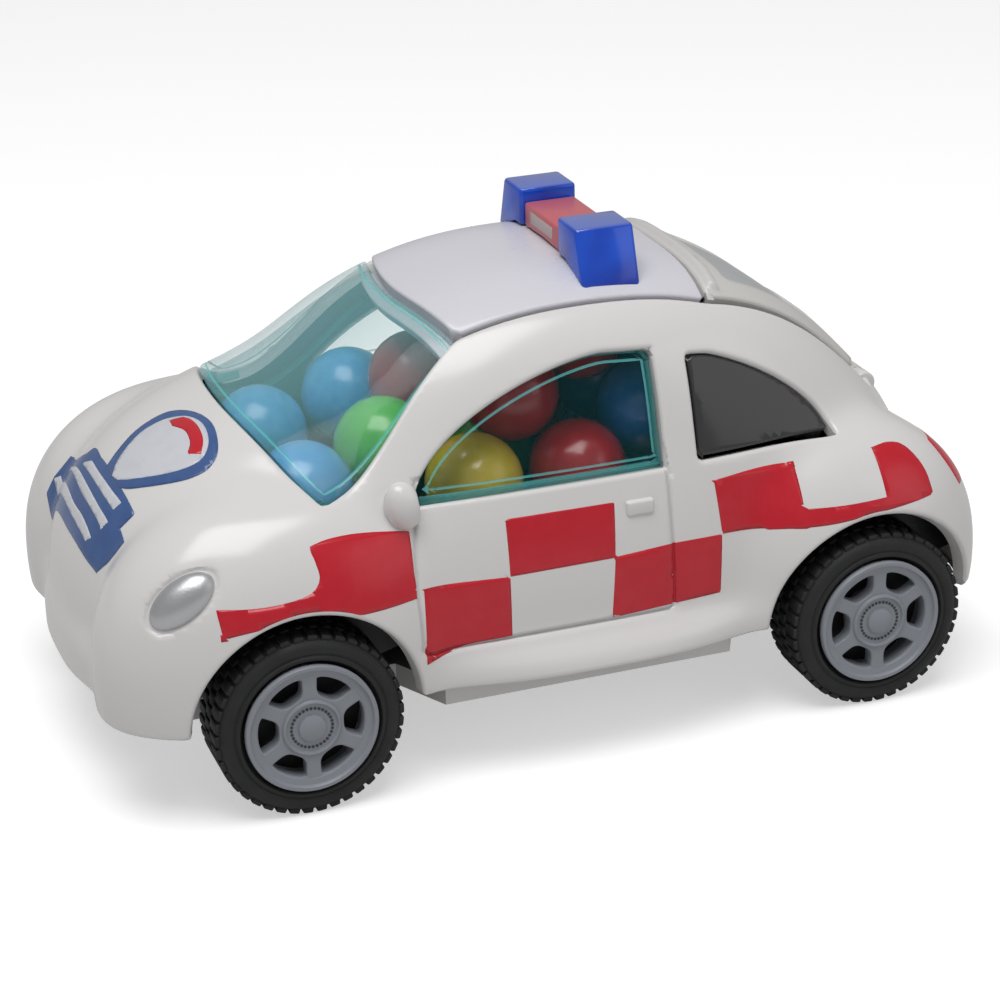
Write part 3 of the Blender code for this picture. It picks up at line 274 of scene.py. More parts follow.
# middle (x, outward y, z), half sizes (x, y, z), roundness in side view and across, in mm
LOBES = {
    "hull": ((-3.9, 0, 13.8), (56.2, 28.6, 32.2), 2.9, 2.8),
    "cabin": ((3.5, 0, 19.6), (43.0, 25.4, 37.2), 2.25, 3.3),
    "front_fender": ((-37.8, 20.2, 16.8), (22.0, 12.2, 20.6), 2.3, 2.2),
    "rear_fender": ((36.2, 20.2, 16.8), (18.2, 12.2, 18.2), 2.2, 2.2),
    "front_bumper": ((-36.3, 0, 14.0), (22.7, 28.2, 7.6), 3.0, 2.6),
    "rear_bumper": ((33.6, 0, 14.0), (22.7, 28.2, 7.6), 3.0, 2.6),
    "sill": ((0.8, 0, 12.2), (33.0, 31.3, 6.5), 4.0, 2.6),
}


# %% The form as a function
def form(x, y, z, depth=0.0):
    """Less than 1 inside the body form drawn in by depth, more outside."""
    total = 0.0
    for (cx, cy, cz), (a, b, c), along, across in LOBES.values():
        u = np.abs(x - SHIFT - cx * MM) / (a * MM - depth)
        v = np.abs(np.abs(y) - cy * MM) / (b * MM - depth)
        w = np.abs(z - cz * MM) / (c * MM - depth)
        lobe = ((u ** along + w ** along) ** (across / along) + v ** across) ** (1 / across)
        total = total + np.exp(-lobe / BLEND)
    return -BLEND * np.log(total)


def outward(points):
    """Unit normals of the form at many points."""
    step = 0.05 * MM
    x, y, z = points.T
    slope = np.stack([form(x + step, y, z) - form(x - step, y, z), form(x, y + step, z) - form(x, y - step, z),
                      form(x, y, z + step) - form(x, y, z - step)], -1)
    return slope / np.linalg.norm(slope, axis=1, keepdims=True)


def reach(start, ray, depth=0.0, far=90 * MM):
    """How far along a ray from inside the form its skin lies, for many rays at once."""
    low, high = np.zeros(len(start)), np.full(len(start), far)
    for _ in range(36):
        half = (low + high) / 2
        inside = form(*(start + half[:, None] * ray).T, depth) < 1
        low, high = np.where(inside, half, low), np.where(inside, high, half)
    return low


def skin(depth, fine):
    """Points and triangles of the closed skin at a depth, from rays that fan out along the car."""
    middle, heart, spread = SHIFT - 1.9 * MM, 18 * MM, 30 * MM
    swing, turn = np.meshgrid(np.linspace(0, math.pi, fine), np.arange(fine) / fine * 2 * math.pi, indexing="ij")
    swing, turn = swing.ravel(), turn.ravel()
    start = np.stack([middle - spread * np.cos(swing), 0 * swing, heart + 0 * swing], -1)
    ray = np.stack([-np.cos(swing), np.sin(swing) * np.cos(turn), np.sin(swing) * np.sin(turn)], -1)
    points = start + reach(start, ray, depth + FACET_SLACK)[:, None] * ray
    i, j = (n.ravel() for n in np.meshgrid(np.arange(fine - 1), np.arange(fine), indexing="ij"))
    k = (j + 1) % fine
    a, b, c, d = i * fine + j, (i + 1) * fine + j, (i + 1) * fine + k, i * fine + k
    return points, np.concatenate([np.stack([a, c, b], -1), np.stack([a, d, c], -1)])


# %% [markdown]
# ## Cutting panels out of the skin
#
# Booleans on a fine mesh are slow and leave ragged shading along the cut. The skin is split
# instead along lines of equal distance from an outline: every triangle that the line crosses
# is divided exactly on it. Splitting at several distances gives neat rows of vertices beside
# each opening, and sinking those rows makes the small round edge that every moulding has.

# %% Split a triangle mesh along a line
def split(points, faces, value):
    """Divide the triangles that value, given at each point, changes sign in."""
    value = np.where(np.abs(value) < 1e-9, 1e-9, value)
    above = value[faces] > 0
    count = above.sum(1)
    whole, mixed = faces[(count == 0) | (count == 3)], faces[(count == 1) | (count == 2)]
    above = value[mixed] > 0
    lone = np.argmax(above != (above.sum(1) == 2)[:, None], axis=1)
    rows = np.arange(len(mixed))
    a, b, c = (mixed[rows, (lone + k) % 3] for k in range(3))
    ends = np.sort(np.concatenate([np.stack([a, b], -1), np.stack([a, c], -1)]), axis=1)
    edges, number = np.unique(ends, axis=0, return_inverse=True)
    number = number.ravel() + len(points)
    share = value[edges[:, 0]] / (value[edges[:, 0]] - value[edges[:, 1]])
    new = points[edges[:, 0]] + share[:, None] * (points[edges[:, 1]] - points[edges[:, 0]])
    ab, ac = number[:len(mixed)], number[len(mixed):]
    parts = [np.stack(corners, -1) for corners in ((a, ab, ac), (ab, b, c), (ab, c, ac))]
    return np.concatenate([points, new]), np.concatenate([whole, *parts])


def inside_by(u, v, outline):
    """Distance into a closed flat outline, negative outside it."""
    first = np.array(outline)
    second = np.roll(first, -1, axis=0)
    best = np.full(len(u), np.inf)
    crossings = np.zeros(len(u), dtype=int)
    for (p, q), (r, s) in zip(first, second):
        along = np.clip(((u - p) * (r - p) + (v - q) * (s - q)) / max((r - p) ** 2 + (s - q) ** 2, 1e-16), 0, 1)
        best = np.minimum(best, np.hypot(u - p - along * (r - p), v - q - along * (s - q)))
        crossings += ((q > v) != (s > v)) & (u < (r - p) * (v - q) / (s - q if s != q else 1e-16) + p)
    return np.where(crossings % 2 == 1, best, -best)


def rounded(outline, radius, steps=5):
    """The same outline with each corner drawn as a short curve."""
    points = [Vector(p) for p in outline]
    made = []
    for before, here, after in zip(points[-1:] + points[:-1], points, points[1:] + points[:1]):
        arm = min(radius, 0.45 * (before - here).length, 0.45 * (after - here).length)
        start, end = here + (before - here).normalized() * arm, here + (after - here).normalized() * arm
        for k in range(steps + 1):
            t = k / steps
            made.append(tuple((1 - t) ** 2 * start + 2 * t * (1 - t) * here + t ** 2 * end))
    return made


def drawn(outline, steps=6):
    """A smooth closed line through points; a point with a third number is a corner."""
    points, made = [Vector(p[:2]) for p in outline], []
    for i in range(len(points)):
        before, here, there, after = (points[k % len(points)] for k in (i - 1, i, i + 1, i + 2))
        leave = there - here if len(outline[i]) > 2 else (there - before) / 2
        arrive = there - here if len(outline[(i + 1) % len(points)]) > 2 else (after - here) / 2
        for k in range(steps):
            t = k / steps
            made.append(tuple((2 * t ** 3 - 3 * t ** 2 + 1) * here + (t ** 3 - 2 * t ** 2 + t) * leave
                              + (3 * t ** 2 - 2 * t ** 3) * there + (t ** 3 - t ** 2) * arrive))
    return made


# %% From arrays to a finished piece
SLIVER = 0.03 * MM


def put(name, data):
    """A new object in the scene."""
    made = bpy.data.objects.new(name, data)
    bpy.context.scene.collection.objects.link(made)
    return made


def evaluated(piece):
    """The mesh that an object's modifiers or curve make."""
    return bpy.data.meshes.new_from_object(piece.evaluated_get(bpy.context.evaluated_depsgraph_get()))


def mesh_of(name, work, *materials):
    """A mesh from a bmesh, which is freed."""
    mesh = bpy.data.meshes.new(name)
    work.to_mesh(mesh)
    work.free()
    for finish in materials:
        mesh.materials.append(finish)
    return mesh


def primitive(create, place=Matrix(), **sizes):
    """A bmesh with one simple body, moved by a matrix."""
    work = bmesh.new()
    create(work, **sizes)
    bmesh.ops.transform(work, verts=work.verts, matrix=place)
    return work


def cleaned(points, faces):
    """The same surface without unused points and slivers."""
    used, faces = np.unique(faces, return_inverse=True)
    mesh = bpy.data.meshes.new("cleaned")
    mesh.from_pydata(points[used].tolist(), [], faces.reshape(-1, 3).tolist())
    work = bmesh.new()
    work.from_mesh(mesh)
    bmesh.ops.dissolve_degenerate(work, edges=work.edges, dist=SLIVER)
    bmesh.ops.triangulate(work, faces=work.faces)
    work.to_mesh(mesh)
    work.free()
    points, faces = np.empty(3 * len(mesh.vertices)), np.empty(len(mesh.loops), dtype=int)
    mesh.vertices.foreach_get("co", points)
    mesh.loops.foreach_get("vertex_index", faces)
    bpy.data.meshes.remove(mesh)
    return points.reshape(-1, 3), faces.reshape(-1, 3)


def walled(name, outer, inner, faces, materials, numbers, crisp):
    """A closed wall between two matching surfaces; its rim gets the last material and may be crisp."""
    count = len(outer)
    sides = np.concatenate([faces[:, [0, 1]], faces[:, [1, 2]], faces[:, [2, 0]]])
    free = sides[~np.isin(sides @ [count, 1], sides @ [1, count])]
    a, b = free.T
    rim = np.concatenate([np.stack([b, a, a + count], -1), np.stack([b, a + count, b + count], -1)])
    mesh = bpy.data.meshes.new(name)
    mesh.from_pydata(np.concatenate([outer, inner]).tolist(), [],
                     np.concatenate([faces, faces[:, ::-1] + count, rim]).tolist())
    for finish in materials:
        mesh.materials.append(finish)
    numbers = np.concatenate([numbers, 0 * numbers, np.full(len(rim), len(materials) - 1)])
    mesh.polygons.foreach_set("material_index", numbers.astype(np.int32))
    mesh.shade_smooth()
    if crisp:
        ends = np.empty(2 * len(mesh.edges), dtype=int)
        mesh.edges.foreach_get("vertices", ends)
        ends, border = np.sort(ends.reshape(-1, 2)), np.sort(np.concatenate([free, free + count]))
        mesh.edges.foreach_set("use_edge_sharp", np.isin(ends @ [2 * count, 1], border @ [2 * count, 1]))
    piece = put(name, mesh)
    weigh = piece.modifiers.new("weigh", "WEIGHTED_NORMAL")
    weigh.mode = "FACE_AREA"
    weigh.keep_sharp = crisp
    piece.data = evaluated(piece)
    piece.modifiers.clear()
    return piece


def baked(piece, angle=35):
    """Apply the modifiers, shade smooth and keep the sharp edges."""
    piece.data = evaluated(piece)
    piece.modifiers.clear()
    piece.data.shade_smooth()
    piece.data.set_sharp_from_angle(angle=math.radians(angle))
    return piece


def solid_object(name, work, finish):
    """A mesh object from a bmesh, its faces turned outward."""
    bmesh.ops.recalc_face_normals(work, faces=work.faces)
    return put(name, mesh_of(name, work, finish))


def bevelled(piece, width, segments=3, angle=30):
    """Round the edges that are sharper than an angle."""
    soft = piece.modifiers.new("soft", "BEVEL")
    soft.width, soft.segments = width, segments
    soft.limit_method, soft.angle_limit = "ANGLE", math.radians(angle)
    return baked(piece, 50)


def placed(piece, body, slot, *nodes):
    """Say what the piece rides on and its triangles, and hide the pieces of the model that it stands for; slot is not
    used.
    """
    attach(piece, body)
    if nodes:
        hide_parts(*nodes)
    triangles = sum(len(face.vertices) - 2 for face in piece.data.polygons)
    print(piece.name, "on", body, "triangles", triangles)
    return piece


def panel(name, depth, thickness, keep, materials, edge, fine, grooves=(), zones=()):
    """A moulding cut from the skin: kept where keep is above zero, with a rounded edge.

    A groove is a measure, a width, a depth and a material number, along the measure's zero line.
    A zone is a measure, a depth and a material number, for everything where it is above zero.
    """
    reserve, snap = 2.5 * MM, 0.04 * MM  # kept to be cut exactly; points so close to the edge lie on it
    points, faces = skin(depth, fine)
    near_by = (keep(points) > -reserve)[faces].any(axis=1)
    used, faces = np.unique(faces[near_by], return_inverse=True)
    points, faces = points[used], faces.reshape(-1, 3)
    rows = [edge * (1 - math.cos(a)) for a in np.radians([0, 40, 65, 90])]
    for row in rows:
        points, faces = split(points, faces, keep(points) - row)
    for groove, width, _, _ in grooves:
        for share in (-1, -0.55, 0, 0.55, 1):
            points, faces = split(points, faces, groove(points) - share * width / 2)
    for zone, deep, _ in zones:
        for share in (0, 0.3, 0.7, 1):
            points, faces = split(points, faces, zone(points) - share * abs(deep))
    points, faces = cleaned(points, faces[keep(points[faces].mean(axis=1)) > 0])
    inset = keep(points)
    near = np.clip(1 - np.where(inset < snap, 0, inset) / edge, 0, 1)
    sink = edge * (1 - np.sqrt(1 - near ** 2))
    numbers = np.zeros(len(faces), dtype=int)
    for groove, width, deep, number in grooves:
        sink += deep * np.clip(1 - (2 * groove(points) / width) ** 2, 0, 1) ** 0.5
        numbers[np.abs(groove(points[faces].mean(axis=1))) < width / 2] = number
    for zone, deep, number in zones:
        rise = np.clip(zone(points) / abs(deep), 0, 1)
        sink += deep * rise * rise * (3 - 2 * rise)
        numbers[zone(points[faces].mean(axis=1)) > 0.7 * abs(deep)] = number
    out = outward(points)
    outer = points - sink[:, None] * out
    crisp = 0.5 * MM < thickness < 2.4 * MM  # a film's rim is too fine for a crisp edge, the roof's is soft
    return walled(name, outer, outer - thickness * out, faces, materials, numbers, crisp)


# %% [markdown]
# ## Outlines
#
# The side windows are drawn in side view, the windscreen, roof and hatch from above. Each
# outline is a handful of sizes and a rounded power curve, the same ones that the model has.

# %% Outlines of windows and panels
DOOR_REAR = SHIFT + 10.3 * MM
WINDOW_LENGTH, WINDOW_CROWN, WINDOW_CROWN_BACK = 31.9 * MM, 14.2 * MM, 6.3 * MM
QUARTER_FRONT, QUARTER_LENGTH, QUARTER_CROWN = DOOR_REAR + 4.3 * MM, 19 * MM, 13.4 * MM
SCREEN_FRONT, SCREEN_TOP, SCREEN_HALF = SHIFT - 39.0 * MM, SHIFT - 16.3 * MM, 18.2 * MM
ROOF_HALF, ROOF_REAR = 16.6 * MM, SHIFT + 19.8 * MM
HATCH_REAR, HATCH_REAR_HALF = SHIFT + 44.6 * MM, 12.6 * MM


def mirrored(near):
    """A closed outline from its near half, which starts and ends on the centre line."""
    return near + [(u, -v) for u, v in reversed(near) if abs(v) > 1e-6]


def door_window():
    far = WINDOW_LENGTH - WINDOW_CROWN_BACK
    arc = [(DOOR_REAR - WINDOW_CROWN_BACK - far * math.sin(t) ** 1.25, BELT_LINE + WINDOW_CROWN * math.cos(t) ** 1.25)
           for t in np.linspace(0, math.pi / 2, 25)]
    # A corner rounded by nothing is doubled, so it stays sharp when the whole outline is rounded.
    return rounded([(DOOR_REAR, BELT_LINE), (DOOR_REAR, BELT_LINE + 0.97 * WINDOW_CROWN)], 0) + arc


def quarter_window():
    arc = [(QUARTER_FRONT - 0.14 * QUARTER_LENGTH + 1.16 * QUARTER_LENGTH * math.sin(t) ** (2 / 1.5),
            BELT_LINE + QUARTER_CROWN * math.cos(t) ** (2 / 1.5)) for t in np.linspace(0.2, 0.97, 20) * math.pi / 2]
    return [(QUARTER_FRONT, BELT_LINE), (QUARTER_FRONT, arc[0][1])] + arc[1:] + [(arc[-1][0], BELT_LINE)]


def screen_edge(across):
    """Where the windscreen's top edge lies at a distance from the centre line."""
    return SCREEN_TOP + 3.9 * MM * (across / SCREEN_HALF) ** 2


def windscreen():
    foot = [(SCREEN_FRONT + 6.5 * MM * t ** 2.4, -24.6 * MM * t) for t in np.linspace(0, 1, 14)]
    top = [(screen_edge(SCREEN_HALF * t), -SCREEN_HALF * t) for t in np.linspace(1, 0, 12)]
    return mirrored(foot + top)


def roof():
    front = [(screen_edge(ROOF_HALF * t), -ROOF_HALF * t) for t in np.linspace(0, 1, 12)]
    return mirrored(front + [(ROOF_REAR, -ROOF_HALF), (ROOF_REAR, 0)])


def canopy():
    """Windscreen, roof and hatch openings in one."""
    near = [point for point in windscreen() if point[1] <= 0][:14]
    near += [(screen_edge(ROOF_HALF), -ROOF_HALF), (ROOF_REAR, -ROOF_HALF), (HATCH_REAR, -HATCH_REAR_HALF),
             (HATCH_REAR, 0)]
    return mirrored(near)


DOOR_WINDOW, QUARTER, SCREEN, ROOF, CANOPY = (rounded(o, 0.8 * MM) for o in
                                              (door_window(), quarter_window(), windscreen(), roof(), canopy()))
print("outline points", len(DOOR_WINDOW), len(QUARTER), len(SCREEN), len(ROOF), len(CANOPY))


def from_side(outline, shrink=0.0):
    """How far inside a side-view outline, drawn in by shrink, each point lies."""
    return lambda points: inside_by(points[:, 0], points[:, 2], outline) - shrink


def from_above(outline, shrink=0.0, floor=0.8 * BELT_LINE):
    """The same for an outline seen from above; points lower than floor are outside."""
    def measure(points):
        depth = inside_by(points[:, 0], points[:, 1], outline) - shrink
        return np.where(points[:, 2] > floor, depth, np.minimum(depth, points[:, 2] - floor))
    return measure


# %% [markdown]
# ## The body shell
#
# One white moulding. Its openings are everything that the panes and panels fill, plus the
# wheel arches and the straight lower edge. The doors don't open: a shallow groove stands for
# their shut lines. The lamps sit in shallow seats.

# %% Body shell
door_front, door_foot = SHIFT - 22.3 * MM, 17.4 * MM
DOOR = rounded([(DOOR_REAR, door_foot), (DOOR_REAR, BELT_LINE + 3 * MM), (door_front + 1.2 * MM, BELT_LINE + 3 * MM),
                (door_front, 30 * MM), (door_front - 0.4 * MM, 25 * MM), (door_front, door_foot)], 1.2 * MM)
HINGE = [sum(c) / 2 for c in zip(*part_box("hatch_pin"))]
HINGE_HALF, HINGE_RADIUS = 8.0 * MM, 1.5 * MM
slot_half = HINGE_HALF + 0.4 * MM
SLOT = [(HINGE[0] - HINGE_RADIUS, -slot_half), (HINGE[0] + 1.9 * MM, -slot_half), (HINGE[0] + 1.9 * MM, slot_half),
        (HINGE[0] - HINGE_RADIUS, slot_half)]
DOOR_GROOVE = (from_side(DOOR), 0.5 * MM, 0.4 * MM, 0)


def outside_openings(points):
    """Distance from the nearest opening of the body, negative inside one."""
    x, y, z = points.T
    openings = [-from_side(DOOR_WINDOW)(points), -from_side(QUARTER)(points), -from_above(CANOPY)(points),
                -from_above(SLOT)(points), z - BODY_HEM]
    for axle in (FRONT_AXLE, REAR_AXLE):
        openings.append(np.hypot(x - axle, z - AXLE_HEIGHT) - ARCH_RADIUS)
    return np.min(openings, axis=0)


def side_of(x, z, depth=0.0):
    """Half width of the form at a point of the side view."""
    return reach(np.array([[x, 0, z]]), np.array([[0, 1, 0]]), depth)[0]


# %% [markdown]
# A lamp is a flattened plug that leans back with the fender. Its shape is needed twice: for
# the plug itself and for the thin gap round it in the body.

# %% Lamp places
LAMP_HALF = Vector((4.5, 1.9, 2.5)) * MM
LAMPS = {}
x, z = FRONT_AXLE - 13.8 * MM, 29.2 * MM
middle = Vector((x, -side_of(x, z), z))
facing = Vector(outward(np.array([middle]))[0])
along = Vector((1, 0, 0.62)).normalized()
along = (along - along.dot(facing) * facing).normalized()
stance = Matrix((along, facing, along.cross(facing))).transposed().to_4x4()
LAMPS["left"] = Matrix.Translation(middle - 1.0 * MM * facing) @ stance
flip = Matrix.Diagonal((1, -1, 1, 1))
LAMPS["right"] = flip @ LAMPS["left"] @ flip


def round_lamp(points):
    """Distance outside the nearer lamp plug, near enough for a thin groove."""
    best = np.full(len(points), 1.0)
    for place in LAMPS.values():
        back = np.array(place.inverted())
        local = (points @ back[:3, :3].T + back[:3, 3]) / np.array(LAMP_HALF)
        best = np.minimum(best, (np.linalg.norm(local, axis=1) - 1) * LAMP_HALF.z)
    return best - 0.2 * MM


LAMP_GROOVE = (round_lamp, 0.5 * MM, 0.35 * MM, 0)
body = panel("body", 0, WALL, outside_openings, [white_abs], 0.5 * MM, 240, grooves=[DOOR_GROOVE, LAMP_GROOVE])
placed(body, "car", "white_abs", "body_shell")

# %% [markdown]
# ## Mirrors, door handles and hinge lugs
#
# These are moulded in one with the body. A mirror is a rounded housing with a flat back face;
# a handle is a small raised bar. Each starts as a ball or a block whose edges are softened.

# %% Mirrors and handles
mirror_x, mirror_z = DOOR_REAR - WINDOW_LENGTH - 1.4 * MM, BELT_LINE + 0.6 * MM
mirror_y = side_of(mirror_x, mirror_z) + 0.9 * MM
MIRROR_HALF = Vector((2.4, 1.95, 3.0))
HANDLE_SIZE = (3.6 * MM, 1.2 * MM, 1.9 * MM, 1)
handle_rear, handle_top = DOOR_REAR - 2.3 * MM, 31.8 * MM
handle_x = handle_rear - 1.8 * MM
handle_y = side_of(handle_x, handle_top - 0.9 * MM) - 0.1 * MM
for side, sign in SIDES:
    work = primitive(bmesh.ops.create_uvsphere, u_segments=40, v_segments=24, radius=1)
    for vertex in work.verts:
        across, up = vertex.co.x, vertex.co.z
        vertex.co.x = min(across, 0.55 + 0.1 * across) - 0.12 * up  # the flat back, leaning
        vertex.co.z *= 1 - 0.12 * across
        vertex.co = MIRROR_HALF * MM * vertex.co + Vector((mirror_x, sign * mirror_y, mirror_z))
    mirror = solid_object(f"mirror_{side}", work, white_abs)
    placed(bevelled(mirror, 0.15 * MM), "car", "white_abs", "body_shell")

    place = Matrix.Translation((handle_x, sign * handle_y, handle_top - 0.95 * MM)) @ Matrix.Diagonal(HANDLE_SIZE)
    handle = solid_object(f"door_handle_{side}", primitive(bmesh.ops.create_cube, place, size=1), white_abs)
    placed(bevelled(handle, 0.35 * MM, 4), "car", "white_abs", "body_shell")


# %% Rods
def rod(name, length, centre, finish):
    """A rod across the car with softened ends."""
    place = Matrix.Translation(centre) @ Matrix.Rotation(math.pi / 2, 4, "X")
    work = primitive(bmesh.ops.create_cone, place, cap_ends=True, segments=40, radius1=HINGE_RADIUS,
                     radius2=HINGE_RADIUS, depth=length)
    return bevelled(solid_object(name, work, finish), 0.2 * MM, 2, 50)


LUG = 2.4 * MM
for side, sign in SIDES:
    lug = rod(f"hinge_lug_{side}", LUG, (HINGE[0], sign * (slot_half + LUG / 2), HINGE[2]), white_abs)
    placed(lug, "car", "white_abs", "body_shell")

# %% [markdown]
# ## Panes and panels
#
# The windscreen and the door windows are one clear moulding. Each pane fills its opening and is as thick as the step
# behind the body's edge. Its rim gets the strong edge tint, which is what the eye reads as glass; the tint is the
# styrene's own, its brightness painted light piped to the edge. A lining behind the body's edge joins the panes, and
# is in the same edge tint.

# %% Glazing
def bright_line(pane, inset):
    """A fine moulded line a little inside a pane's edge, in the edge's tint and its painted glow."""
    return [(lambda points: pane(points) - inset, 0.3 * MM, 0.04 * MM, 1)]


PANE_EDGE = 0.35 * MM
for title, shape, depth, face, inset in (
        ("windscreen", from_above(SCREEN, EDGE_GAP), 0.14 * MM, screen_face, 0.9 * MM),
        ("door_windows", from_side(DOOR_WINDOW, EDGE_GAP), 0.6 * MM, door_face, 1.0 * MM)):
    pane = panel(title, depth, 1.1 * MM, shape, [face, teal_edge], PANE_EDGE, 180, grooves=bright_line(shape, inset))
    placed(pane, "car", "teal_clear_styrene", "window_insert")


def lining_zone(points):
    """A band of the inner lining round the windscreen and door windows, clear of the roof's flange."""
    screen, door = from_above(SCREEN)(points), from_side(DOOR_WINDOW)(points)
    pane = np.maximum(screen, np.where(np.abs(points[:, 1]) > 12 * MM, door, -1))
    roof_side = np.where(points[:, 0] > SCREEN_TOP - 1 * MM, from_above(ROOF)(points) + 2.2 * MM, -1)
    return np.minimum.reduce([pane + 2.6 * MM, 0.2 * MM - pane, -roof_side, points[:, 2] - 0.91 * BELT_LINE])


lining = panel("window_lining", 1.8 * MM, 1.0 * MM, lining_zone, [teal_edge, teal_edge], 0.1 * MM, 180)
placed(lining, "car", "teal_clear_styrene", "window_insert")
for side, sign in SIDES:
    def one_side(points, sign=sign):
        return np.minimum(from_side(QUARTER, EDGE_GAP)(points), sign * points[:, 1] - 5 * MM)
    pane = panel(f"quarter_pane_{side}", 0.45 * MM, 2.0 * MM, one_side, [quarter_styrene], PANE_EDGE, 160)
    placed(pane, "car", "black_styrene", f"quarter_window_{side}")

# %% Roof panel
for title, depth, thickness, shrink, edge, fine in (("roof", 0, 2.5 * MM, EDGE_GAP, 0.4 * MM, 180),
                                                    ("roof_flange", 1.8 * MM, 1.0 * MM, -1.1 * MM, 0.2 * MM, 160)):
    layer = panel(title, depth, thickness, from_above(ROOF, shrink), [roof_abs], edge, fine)
    placed(layer, "car", "cool_white_abs", "roof_panel")

# %% [markdown]
# ## Hatch
#
# The rear hatch turns on a pin at its lower edge. A ridge across its front edge is what a
# finger lifts, and a shallow grey panel stands for the rear window. Both are relief on the
# same skin: the ridge is raised, the window sunk, each with a soft step.

# %% Hatch
HATCH_GAP = 0.8 * MM
shoulder = HATCH_REAR - HINGE_RADIUS - 0.4 * MM
shoulder_half = ROOF_HALF + (shoulder - ROOF_REAR) / (HATCH_REAR - ROOF_REAR) * (HATCH_REAR_HALF - ROOF_HALF)
HATCH = rounded(mirrored([(ROOF_REAR + EDGE_GAP, 0), (ROOF_REAR + EDGE_GAP, HATCH_GAP - ROOF_HALF),
                          (shoulder - EDGE_GAP, HATCH_GAP - shoulder_half), (shoulder - EDGE_GAP, -HINGE_HALF),
                          (HATCH_REAR, -HINGE_HALF), (HATCH_REAR, 0)]), 0.8 * MM)
RIDGE_HALF = 14.8 * MM
ridge = [(ROOF_REAR + u * MM, side * RIDGE_HALF) for u, side in ((0.6, -1), (2.6, -1), (2.6, 1), (0.6, 1))]
rear_window = rounded([(ROOF_REAR + 4.5 * MM, -11.7 * MM), (ROOF_REAR + 4.5 * MM, 11.7 * MM),
                       (HATCH_REAR - 6 * MM, 9.1 * MM), (HATCH_REAR - 6 * MM, -9.1 * MM)], 1.5 * MM)
relief = [(from_above(ridge), -0.7 * MM, 0), (from_above(rear_window), 0.5 * MM, 1)]
hatch_piece = panel("hatch", 0, WALL, from_above(HATCH, floor=22 * MM), [hatch_abs, rear_glass_abs, hatch_abs],
                    0.4 * MM, 200, zones=relief)
placed(hatch_piece, "hatch", "warm_white_abs", "rear_hatch")
placed(rod("hinge_barrel", 2 * HINGE_HALF, HINGE, hatch_abs), "hatch", "warm_white_abs", "rear_hatch")

# %% [markdown]
# ## Printed checks and hood label
#
# The print is a film of ink a few hundredths of a millimetre above the plastic. It is cut from
# the same skin as the body, just outside it, so it follows every curve and even dips into the
# door's shut line. The label is a bare badge: a shield with an arc, and a block with pale bars.

# %% Red checks
CHECKS = {  # side view, in mm from the middle of the wheelbase and from the floor; a 1 marks a corner
    "nose": [(-35.5, 33.3, 1), (-32.8, 33.7), (-28.8, 33.5), (-22.7, 32.4, 1), (-22.9, 28.0, 1), (-22.8, 24.9, 1),
             (-28.0, 24.9), (-33.0, 25.1), (-37.9, 25.5), (-43.2, 25.3), (-46.8, 24.8, 1), (-47.2, 28.2, 1),
             (-42.9, 27.9), (-39.3, 28.0), (-36.3, 28.5), (-34.9, 29.8), (-35.0, 31.6)],
    "door low front": [(-21.9, 25.7, 1), (-10.9, 25.1, 1), (-11.0, 17.5, 1), (-17.5, 17.3), (-22.2, 16.3, 1)],
    "door high": [(-10.9, 32.0, 1), (3.0, 31.9, 1), (2.6, 25.2, 1), (-10.9, 25.1, 1)],
    "door low rear": [(2.6, 25.3, 1), (10.2, 25.7, 1), (9.4, 17.9, 1), (1.9, 17.6, 1)],
    "behind the door": [(10.2, 25.7, 1), (16.9, 25.6, 1), (16.5, 18.1, 1), (9.4, 17.9, 1)],
    "quarter high": [(16.3, 32.3, 1), (22.0, 32.7), (27.3, 32.7, 1), (27.3, 25.4, 1), (16.9, 25.6, 1)],
    "rear arch": [(22.3, 25.3, 1), (30.0, 25.7), (36.8, 26.4), (44.5, 26.9, 1), (44.6, 27.9, 1), (37.9, 28.0, 1),
                  (32.5, 27.8), (27.0, 27.7, 1)],
    "rear high": [(37.6, 33.2, 1), (40.2, 33.3), (42.5, 32.5), (44.3, 30.0), (44.9, 27.0, 1), (37.9, 27.5, 1)],
    "tail": [(47.2, 31.6, 1), (49.0, 28.6), (50.4, 26.0, 1), (57.0, 25.6, 1), (57.0, 31.4, 1)],
}
CHECK_SHAPES = [drawn([(p[0] * MM, p[1] * MM, *p[2:]) for p in outline]) for outline in CHECKS.values()]


def on_checks(points):
    """How far inside the nearest check, and clear of the openings' rounded edges."""
    x, z = points[:, 0] - SHIFT, points[:, 2]
    near = (z > 14 * MM) & (z < 36 * MM)
    deep = np.full(len(points), -1.0)
    deep[near] = np.max([inside_by(x[near], z[near], shape) for shape in CHECK_SHAPES], axis=0)
    arches = np.min([np.hypot(points[:, 0] - axle, z - AXLE_HEIGHT) for axle in (FRONT_AXLE, REAR_AXLE)], axis=0)
    clear = np.minimum(outside_openings(points) - 0.45 * MM, arches - ARCH_RADIUS - 0.5 * MM)
    return np.minimum(np.minimum(deep, clear), np.abs(points[:, 1]) - 12 * MM)


checks = panel("red_checks", -0.04 * MM, 0.03 * MM, on_checks, [red_ink], 0.02 * MM, 240, grooves=[DOOR_GROOVE])
placed(checks, "car", "white_abs", "body_shell")

